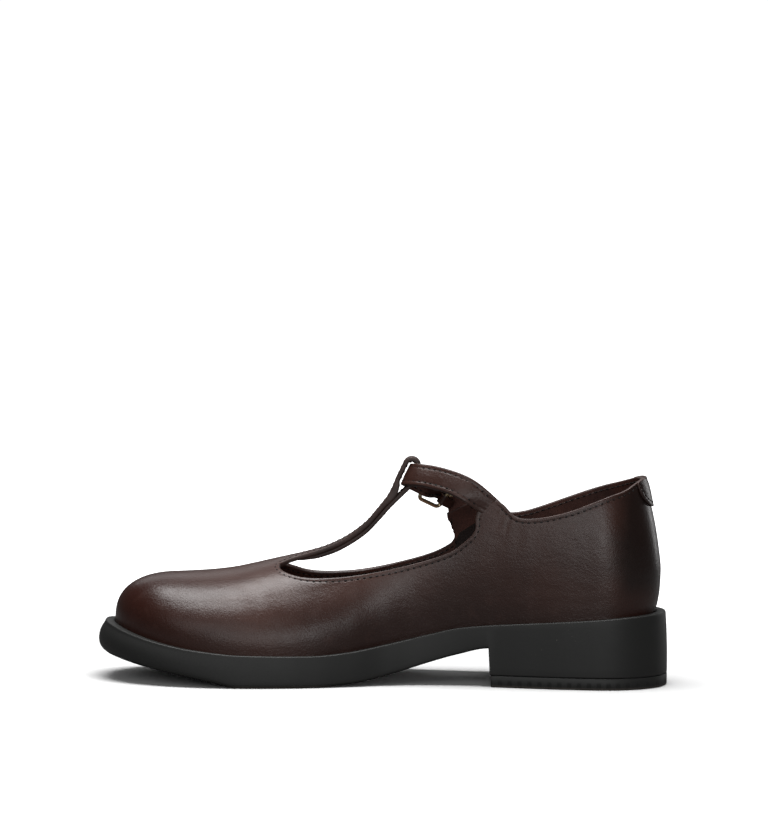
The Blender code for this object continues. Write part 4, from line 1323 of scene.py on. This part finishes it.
class ShoeColours(bpy.types.PropertyGroup):
    """Colours of the shoe's finishes."""

    leather: shade("Leather", "Brown of the upper", 0.038, 0.0144, 0.0102)
    leather_light: shade("Light leather", "Lighter clouds in the dye", 0.064, 0.0245, 0.0168)
    # Redder toe colour, also laid low on the quarters as painted shade.
    burnish_and_shade: shade("Burnish", "Redder dye at the toe", 0.03, 0.0068, 0.0036)
    # Dark brown laid on as painted shade: a dark reflection band round the heel and shade low on the
    # quarters.
    painted_shade_brown: shade("Counter", "Dark polish round the heel", 0.008, 0.004, 0.003)
    lining: shade("Lining", "Leather inside the shoe", 0.085, 0.031, 0.022)
    # Lining darkened as painted shade deeper inside the shoe, below the collar's band.
    painted_shade_lining: shade("Deep lining", "Lining below the collar's band", 0.014, 0.0065, 0.005)
    edge: shade("Edge", "Painted leather edges", 0.05, 0.026, 0.021)
    rubber: shade("Rubber", "Black of the sole", 0.0178, 0.0181, 0.0174)
    rubber_worn: shade("Worn rubber", "Scuffs on the sole", 0.03, 0.031, 0.03)
    # Pale colour of the specks, also laid near the floor as a painted reflection of the floor.
    dust_and_reflection: shade("Dust", "Specks on the sole", 0.16, 0.14, 0.12)
    elastic: shade("Elastic", "Ribbed elastic", 0.11, 0.045, 0.034)
    metal: shade("Buckle", "Pale gold plating", 0.92, 0.77, 0.5)
    thread: shade("Thread", "Stitches", 0.04, 0.021, 0.017)
    hole: shade("Needle holes", "Shadow in the holes", 0.003, 0.0015, 0.0012)


def sewing(colours):
    """Materials of a stitch row: its thread and the painted shade of its needle holes."""
    found = bpy.data.materials.get("stitch_thread")
    if found:
        return [found, bpy.data.materials["needle_hole"]]
    return [thread("stitch_thread", colours.thread), plain_leather("needle_hole", colours.hole, 0.9)]


def upper_leathers(colours):
    """Outer leather, lining and edge."""
    found = bpy.data.materials.get("polished_leather")
    if found:
        return [found, bpy.data.materials["lining_leather"], bpy.data.materials["edge_leather"]]
    return [
        leather("polished_leather", colours),
        plain_leather("lining_leather", colours.lining, 0.6),
        plain_leather("edge_leather", colours.edge, 0.5, 700.0),
    ]


class SHOE_OT_sole(bpy.types.Operator):
    """Make the cup sole and the heel's ground layer"""

    bl_idname = "shoe.sole"
    bl_label = "Sole"

    def execute(self, context):
        colours = context.scene.shoe_colours
        x = sole_stations()
        breast = float(place(BREAST))
        heel = x < breast + 0.1
        under = np.where(heel, TOP_PIECE + 0.12, under_heel(np.maximum(x, breast)) + under_toe(x))
        radius = np.where(heel, HEEL_EDGE, edge_radius(x))
        rim = rim_top(x)
        wide = rim_wide(x)
        swell = side_swell(x)
        low = under + radius
        rings = [ring(x, wide + swell - radius - 2.0, under)]
        for turn in np.linspace(0, np.pi / 2, 7):
            away = wide + swell - radius + radius * np.sin(turn)
            rings.append(ring(x, away, low - radius * np.cos(turn)))
        for t in (0.15, 0.3, 0.45, 0.6, 0.75, 0.9):
            rings.append(ring(x, wide + swell * (1 - t**2.2), low + t * (rim - 0.9 - low)))
        for turn in np.linspace(0, np.pi / 2, 6):
            away = wide - RIM_ROUND + RIM_ROUND * np.cos(turn)
            rings.append(ring(x, away, rim - RIM_ROUND + RIM_ROUND * np.sin(turn)))
        cup = np.full(len(x), CUP_GAP)
        for away, down in ((1.3, 0.02), (0.5, 0.12), (0.0, 0.5), (0.0, CUP_DEPTH)):
            rings.append(ring(x, cup + away, rim - down))
        sole = mesh_piece("moulded_sole", *loft(rings), [rubber("sole_rubber_finish", colours, False)])
        sole.data.set_sharp_from_angle(angle=math.radians(50))
        dress(sole, "sole_rubber", "outsole")

        count = int(np.sum(heel))
        n = plan_normals(x)
        outline = {}
        for side in (1, -1):
            base = np.stack([x, feather(x, side)], axis=1)[:count]
            outline[side] = (base, n[side][:count])
        away = (wide + swell)[:count]
        rings = []
        for inset, z in TOP_PIECE_EDGE:
            sides = []
            for side in (1, -1):
                base, normal = outline[side]
                flat = base + normal * (away - inset)[:, None]
                flat[:, 0] = np.minimum(flat[:, 0], breast - inset * 0.6)
                sides.append(np.column_stack([flat, np.full(count, z)]))
            rings.append(np.vstack([sides[0], sides[1][:0:-1]]))
        around = len(rings[0])
        top = (len(rings) - 1) * around
        faces = [list(range(around)), list(range(top, top + around))[::-1]]
        faces += between(around, len(rings))
        finish = rubber("top_piece_finish", colours, True)
        ground = mesh_piece("heel_ground_layer", np.vstack(rings), faces, [finish])
        ground.data.set_sharp_from_angle(angle=math.radians(50))
        dress(ground, "top_piece_rubber", "heel_top_piece")
        return {"FINISHED"}


class SHOE_OT_insole(bpy.types.Operator):
    """Finish the insole in sock leather"""

    bl_idname = "shoe.insole"
    bl_label = "Insole"

    def execute(self, context):
        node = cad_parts["insole"]
        finish = plain_leather("sock_leather", context.scene.shoe_colours.lining, 0.65)
        for slot in node.material_slots:
            slot.material = finish
        return {"FINISHED"}


class SHOE_OT_upper(bpy.types.Operator):
    """Make the leather upper with its T-bar, edge stitching and creases"""

    bl_idname = "shoe.upper"
    bl_label = "Upper"

    def execute(self, context):
        sizes = context.scene.shoe_sizes
        colours = context.scene.shoe_colours
        sheet, chains = upper_sheet()

        ears = set(chains["ear", 1][1:-1] + chains["ear", -1][1:-1])

        def open_edge(v):
            return v not in ears and sheet.at[v][2] > float(rim_top(sheet.at[v][0])) + 2.0

        distance = sheet.from_rim(open_edge)
        relief = roll_relief(distance, sizes) + crease_relief(sheet.at)
        leathers = upper_leathers(colours)
        # The inner face deep in the shoe takes the lining darkened as painted shade.
        leathers.append(plain_leather("painted_shade_lining", colours.painted_shade_lining, 0.62))
        upper = sheet.thick("leather_upper", 0.0, WALL, 0.35, leathers, relief, deep=chains["deep"])
        dress(upper, "upper_leather", "upper")
        surface = BVHTree.FromPolygons([Vector(p) for p in sheet.at], sheet.faces)
        sew = sewing(colours)
        for name, chain in (
            ("collar_stitches", chains["collar"]),
            ("medial_window_stitches", chains[1] + chains["bar", 1][1:-HIDDEN_ROWS]),
            ("lateral_window_stitches", chains[-1] + chains["bar", -1][1:-HIDDEN_ROWS]),
        ):
            line, normals = follow(sheet, chain, sizes.inset, surface)
            line = line[1:-1]
            normals = normals[1:-1]
            stitch_row(name, line - normals * UPPER_SINK, normals, sizes, sew, "upper_leather")
            inner = line - normals * (WALL + INSIDE_PROUD)
            stitch_row(name + "_inside", inner, -normals, sizes, sew, "upper_leather")
        return {"FINISHED"}


class SHOE_OT_back_tab(bpy.types.Operator):
    """Make the half-moon tab over the back seam"""

    bl_idname = "shoe.back_tab"
    bl_label = "Back tab"

    def execute(self, context):
        sizes = context.scene.shoe_sizes
        colours = context.scene.shoe_colours
        sheet = Sheet()
        grid = []
        for u in np.linspace(-1, 1, 61):
            side = 1 if u >= 0 else -1
            x = BACK_X + HEEL_ROUND * (1 - np.cos(abs(u) * TAB_ANGLE))
            data = np.array(MEDIAL_EDGE if side == 1 else LATERAL_EDGE).T
            top = float(lift(x, ease((x - BACK_X) / LENGTH, data[0], data[2])))
            low = top - TAB_TALL * (1 - abs(u) ** 2.2) ** 0.5 - 0.9
            grid.append([sheet.add(skin(x, z, side)) for z in np.linspace(low, top + 0.1, 18)])
        sheet.patch(grid, True)
        sheet.measure()
        distance = sheet.from_rim()
        relief = roll_relief(distance, sizes)
        leathers = upper_leathers(colours)
        finishes = [leathers[0], leathers[0], leathers[2]]
        tab = sheet.thick("half_moon_tab", GAP + TAB_THICK, -0.05, 0.25, finishes, relief)
        dress(tab, "tab_leather", "back_tab")
        surface = BVHTree.FromPolygons([Vector(p) for p in sheet.at], sheet.faces)
        line, normals = follow(sheet, [row[0] for row in grid], sizes.inset, surface)
        line = line + normals * (GAP + TAB_THICK - TAB_SINK)
        stitch_row("tab_stitches", line, normals, sizes, sewing(colours), "tab_leather")
        return {"FINISHED"}


class SHOE_OT_cross_strap(bpy.types.Operator):
    """Make the stitched strap that runs through the T-bar's loop to the buckle"""

    bl_idname = "shoe.cross_strap"
    bl_label = "Cross strap"

    def execute(self, context):
        sizes = context.scene.shoe_sizes
        colours = context.scene.shoe_colours
        points, wides, normals, widths = strap_line()
        sheet, grid = ribbon(points, wides, normals, widths, cross_places(STRAP_WIDE / 2))
        ends = set(grid[0][1:-1])
        distance = sheet.from_rim(lambda v: v not in ends)
        relief = roll_relief(distance, sizes) + np.interp(distance, *STRAP_CROWN)
        leathers = upper_leathers(colours)
        half = STRAP_THICK / 2
        strap = sheet.thick("leather_strap", half, half, 0.3, leathers, relief)
        dress(strap, "strap_leather", "cross_strap")
        surface = BVHTree.FromPolygons([Vector(p) for p in sheet.at], sheet.faces)
        sew = sewing(colours)
        for name, end in (("strap_upper_stitches", 0), ("strap_lower_stitches", -1)):
            line, ups = follow(sheet, [row[end] for row in grid[3:-2]], sizes.inset, surface)
            stitch_row(name, line + ups * (half - STRAP_SINK), ups, sizes, sew, "strap_leather")
            back = line - ups * (half + BACK_PROUD)
            stitch_row(name + "_back", back, -ups, sizes, sew, "strap_leather")
        return {"FINISHED"}


class SHOE_OT_elastic(bpy.types.Operator):
    """Make the ribbed elastic and the leather fold that hold the buckle"""

    bl_idname = "shoe.elastic"
    bl_label = "Elastic and fold"

    def execute(self, context):
        colours = context.scene.shoe_colours
        a, b, normal = ear(LATERAL_EDGE, -1)
        middle, along, wide_way, out = buckle_axes()
        end = middle + along * (FRAME_LONG / 2 + CHAPE_LEG / 2)
        start = (a + b) / 2 - normal * WALL / 2
        lead = unit(end - start)
        start = start - lead * 1.5
        t = np.linspace(0, 1, 26)[:, None]
        reach = np.linalg.norm(end - start)
        points = (2 * t**3 - 3 * t**2 + 1) * start + (t**3 - 2 * t**2 + t) * lead * reach
        points = points + (3 * t**2 - 2 * t**3) * end - (t**3 - t**2) * along * reach
        root = unit(a - b)
        root = root if np.dot(root, wide_way) > 0 else -root
        normals = unit(normal * (1 - t) + out * t)
        wides = root * (1 - t) + wide_way * t
        wides = unit(wides - normals * np.sum(wides * normals, axis=1)[:, None])
        wide = GORE_WIDE / 2
        count = RIBS * RIB_ROWS + 1
        crosses = [(1 if s > 0 else -1, wide - abs(s)) for s in np.linspace(wide, -wide, count)]
        sheet, grid = ribbon(points, wides, normals, np.full(len(points), GORE_WIDE), crosses)
        ribs = np.zeros(len(sheet.at))
        for row in grid:
            for k, v in enumerate(row):
                ribs[v] = RIB_HIGH * math.cos(2 * math.pi * k / RIB_ROWS)
        web = elastic("ribbed_elastic", colours.elastic)
        half = (GORE_THICK - RIB_HIGH) / 2
        gore = sheet.thick("elastic_web", half, half, 0.1, [web, web, web], ribs)
        dress(gore, "gore_elastic", "elastic_gore")

        rail = middle + along * (FRAME_LONG / 2 - RAIL)
        r = RAIL + GAP + CHAPE_THICK / 2
        turns = np.linspace(0, np.pi, 19)
        legs = np.linspace(1.0, 0.15, 7) * CHAPE_LEG
        points = [rail + along * s + out * r for s in legs]
        points += [rail + r * (out * np.cos(a) - along * np.sin(a)) for a in turns]
        points += [rail + along * s - out * r for s in legs[::-1]]
        normals = [out] * 7 + [out * np.cos(a) - along * np.sin(a) for a in turns] + [-out] * 7
        wides = np.repeat(wide_way[None], len(points), axis=0)
        leathers = upper_leathers(colours)
        slot = PRONG + SLOT_ROOM
        flap = CHAPE_WIDE / 2 - slot
        widths = np.full(len(points), flap)
        half = CHAPE_THICK / 2
        for name, side in (("buckle_fold_upper", 1), ("buckle_fold_lower", -1)):
            spots = np.array(points) + wide_way * side * (slot + flap / 2)
            sheet, grid = ribbon(spots, wides, normals, widths, cross_places(flap / 2))
            fold = sheet.thick(name, half, half, 0.2, leathers)
            dress(fold, "chape_leather", "buckle_chape")
        return {"FINISHED"}


class SHOE_OT_buckle(bpy.types.Operator):
    """Make the pale gold buckle frame and its prong"""

    bl_idname = "shoe.buckle"
    bl_label = "Buckle"

    def execute(self, context):
        colours = context.scene.shoe_colours
        middle, along, wide_way, out = buckle_axes()
        gold = metal("pale_gold_plate", colours.metal)
        a = FRAME_LONG / 2 - RAIL
        b = FRAME_WIDE / 2 - RAIL
        r = 0.15 * FRAME_LONG
        path = []
        for quarter, (u, v) in enumerate(((1, 1), (-1, 1), (-1, -1), (1, -1))):
            corner = middle + along * u * (a - r) + wide_way * v * (b - r)
            for turn in np.radians(90 * quarter + np.linspace(0, 90, 12)):
                path.append(corner + r * (along * np.cos(turn) + wide_way * np.sin(turn)))
        wire = tube("buckle_wire", path, RAIL, True, 24, [gold])
        dress(wire, "buckle_metal", "buckle_frame")
        rail = middle + along * a
        eye = RAIL + GAP + PRONG + 0.05
        turns = np.radians(np.linspace(-170, 0, 27))
        pin = [rail + eye * (out * np.cos(t) - along * np.sin(t)) for t in turns]
        for back in np.linspace(0.2, 1.9, 9):
            pin.append(rail - along * a * back + out * eye)
        pin.append(rail - along * (2 * a + 1.6) + out * (eye - 0.1))
        prong = tube("buckle_pin", pin, PRONG, False, 20, [gold])
        dress(prong, "prong_metal", "buckle_prong")
        return {"FINISHED"}


# Camera: azimuth, elevation and roll in degrees, distance in millimetres, and where the origin shows.
VIEW_AZIMUTH = 178.0
VIEW_ELEVATION = 7.5
VIEW_ROLL = 0.75
VIEW_DISTANCE = 1600.0
VIEW_SCALE = 0.4637
ORIGIN_PIXEL = (589.0, 681.0)
PICTURE = (768, 816)


def photo_camera():
    """Axes and place of a camera whose line from the origin has the view's azimuth and elevation."""
    az = math.radians(VIEW_AZIMUTH)
    el = math.radians(VIEW_ELEVATION)
    roll = math.radians(VIEW_ROLL)
    back_way = Vector((math.sin(az) * math.cos(el), -math.cos(az) * math.cos(el), math.sin(el)))
    dx = ORIGIN_PIXEL[0] - PICTURE[0] / 2
    dy = ORIGIN_PIXEL[1] - PICTURE[1] / 2
    focal = VIEW_DISTANCE / VIEW_SCALE
    cos_roll = math.cos(roll)
    sin_roll = math.sin(roll)
    seen = Vector((dx * cos_roll + dy * sin_roll, dx * sin_roll - dy * cos_roll, focal))
    seen.normalize()
    pitch = math.asin(-back_way.z / math.hypot(seen.y, seen.z)) - math.atan2(seen.y, seen.z)
    level = seen.z * math.cos(pitch) - seen.y * math.sin(pitch)
    yaw = math.atan2(-back_way.y, -back_way.x) + math.atan2(seen.x, level)
    ahead = Vector((math.cos(yaw) * math.cos(pitch), math.sin(yaw) * math.cos(pitch), math.sin(pitch)))
    right = ahead.cross(Vector((0, 0, 1))).normalized()
    up = right.cross(ahead)
    rolled_right = right * cos_roll + up * sin_roll
    rolled_up = up * cos_roll - right * sin_roll
    return Matrix((rolled_right, rolled_up, -ahead)).transposed(), back_way * VIEW_DISTANCE


class SHOE_OT_stage(bpy.types.Operator):
    """Set the floor, the studio light and the camera"""

    bl_idname = "shoe.stage"
    bl_label = "Stage"

    def execute(self, context):
        scene = context.scene
        disc = {"vertices": 96, "radius": 6.0, "fill_type": "NGON"}
        bpy.ops.mesh.primitive_circle_add(location=(0.1, 0.0, -0.0002), **disc)
        floor = context.active_object
        floor.name = "pale_floor"
        paint = Finish("floor_white", (0.9, 0.9, 0.9), 0.9, specular_ior_level=0.0)
        x = paint.axis("X")
        y = paint.axis("Y")
        away = (x * x + y * y) ** 0.5
        glow = paint.blend(away.within(*GLOW_REACH), (0.0, 0.0, 0.0), (FLOOR_GLOW,) * 3)
        paint.set("Emission Color", glow)
        paint.set("Emission Strength", 1.0)
        ray = paint.node("ShaderNodeLightPath", {}, {})
        grey = (*(FLOOR_REFLECTED,) * 3, 1.0)
        dull = paint.node("ShaderNodeBsdfDiffuse", {}, {"Color": grey})
        seen = Tone(paint, paint.shader.outputs[0])
        mix = paint.node("ShaderNodeMixShader", {}, {0: ray, 1: dull, 2: seen})
        paint.tree.links.new(mix.socket, paint.tree.nodes["Material Output"].inputs["Surface"])
        floor.data.materials.append(paint.material)

        scene.view_settings.view_transform = "Standard"
        world = bpy.data.worlds.new("studio")
        scene.world = world
        world.use_nodes = True
        tree = world.node_tree
        back = tree.nodes["Background"]
        white = tree.nodes.new("ShaderNodeBackground")
        for node, strength in ((back, AMBIENT), (white, BACKDROP)):
            node.inputs["Color"].default_value = (1.0, 1.0, 1.0, 1.0)
            node.inputs["Strength"].default_value = strength
        ray = tree.nodes.new("ShaderNodeLightPath")
        mix = tree.nodes.new("ShaderNodeMixShader")
        tree.links.new(ray.outputs["Is Camera Ray"], mix.inputs[0])
        tree.links.new(back.outputs[0], mix.inputs[1])
        tree.links.new(white.outputs[0], mix.inputs[2])
        tree.links.new(mix.outputs[0], tree.nodes["World Output"].inputs["Surface"])

        for name, spot, aim, sides, power in LAMPS:
            lamp = bpy.data.lights.new(name, "AREA")
            lamp.shape = "RECTANGLE"
            lamp.size, lamp.size_y = sides
            lamp.energy = power
            obj = bpy.data.objects.new(name, lamp)
            obj.location = spot
            obj.rotation_euler = (Vector(aim) - Vector(spot)).to_track_quat("-Z", "Y").to_euler()
            scene.collection.objects.link(obj)

        axes, place_at = photo_camera()
        lens = bpy.data.cameras.new("photo_camera")
        lens.sensor_width = 36.0
        lens.lens = 36.0 * VIEW_DISTANCE / (VIEW_SCALE * max(PICTURE))
        lens.clip_start = 0.01
        lens.clip_end = 50.0
        camera = bpy.data.objects.new("photo_camera", lens)
        camera.matrix_world = Matrix.Translation(place_at * MM) @ axes.to_4x4()
        scene.collection.objects.link(camera)
        scene.camera = camera
        return {"FINISHED"}


OPERATORS = (
    SHOE_OT_sole,
    SHOE_OT_insole,
    SHOE_OT_upper,
    SHOE_OT_back_tab,
    SHOE_OT_cross_strap,
    SHOE_OT_elastic,
    SHOE_OT_buckle,
    SHOE_OT_stage,
)


class SHOE_PT_maker(bpy.types.Panel):
    """Buttons for the shoe's pieces, its sizes and its colours"""

    bl_idname = "SHOE_PT_maker"
    bl_label = "T-bar Shoe"
    bl_space_type = "VIEW_3D"
    bl_region_type = "UI"
    bl_category = "T-bar Shoe"

    def draw(self, context):
        for group in (context.scene.shoe_sizes, context.scene.shoe_colours):
            for name in group.bl_rna.properties.keys():
                if name not in {"rna_type", "name"}:
                    self.layout.prop(group, name)
        for operator in OPERATORS:
            self.layout.operator(operator.bl_idname)


CLASSES = (ShoeSizes, ShoeColours, *OPERATORS, SHOE_PT_maker)


def register():
    for item in CLASSES:
        bpy.utils.register_class(item)
    bpy.types.Scene.shoe_sizes = bpy.props.PointerProperty(type=ShoeSizes)
    bpy.types.Scene.shoe_colours = bpy.props.PointerProperty(type=ShoeColours)


def unregister():
    del bpy.types.Scene.shoe_colours
    del bpy.types.Scene.shoe_sizes
    for item in reversed(CLASSES):
        bpy.utils.unregister_class(item)


def main():
    register()
    bpy.ops.shoe.sole()
    bpy.ops.shoe.insole()
    bpy.ops.shoe.upper()
    bpy.ops.shoe.back_tab()
    bpy.ops.shoe.cross_strap()
    bpy.ops.shoe.elastic()
    bpy.ops.shoe.buckle()
    bpy.ops.shoe.stage()


if __name__ == "__main__":
    main()
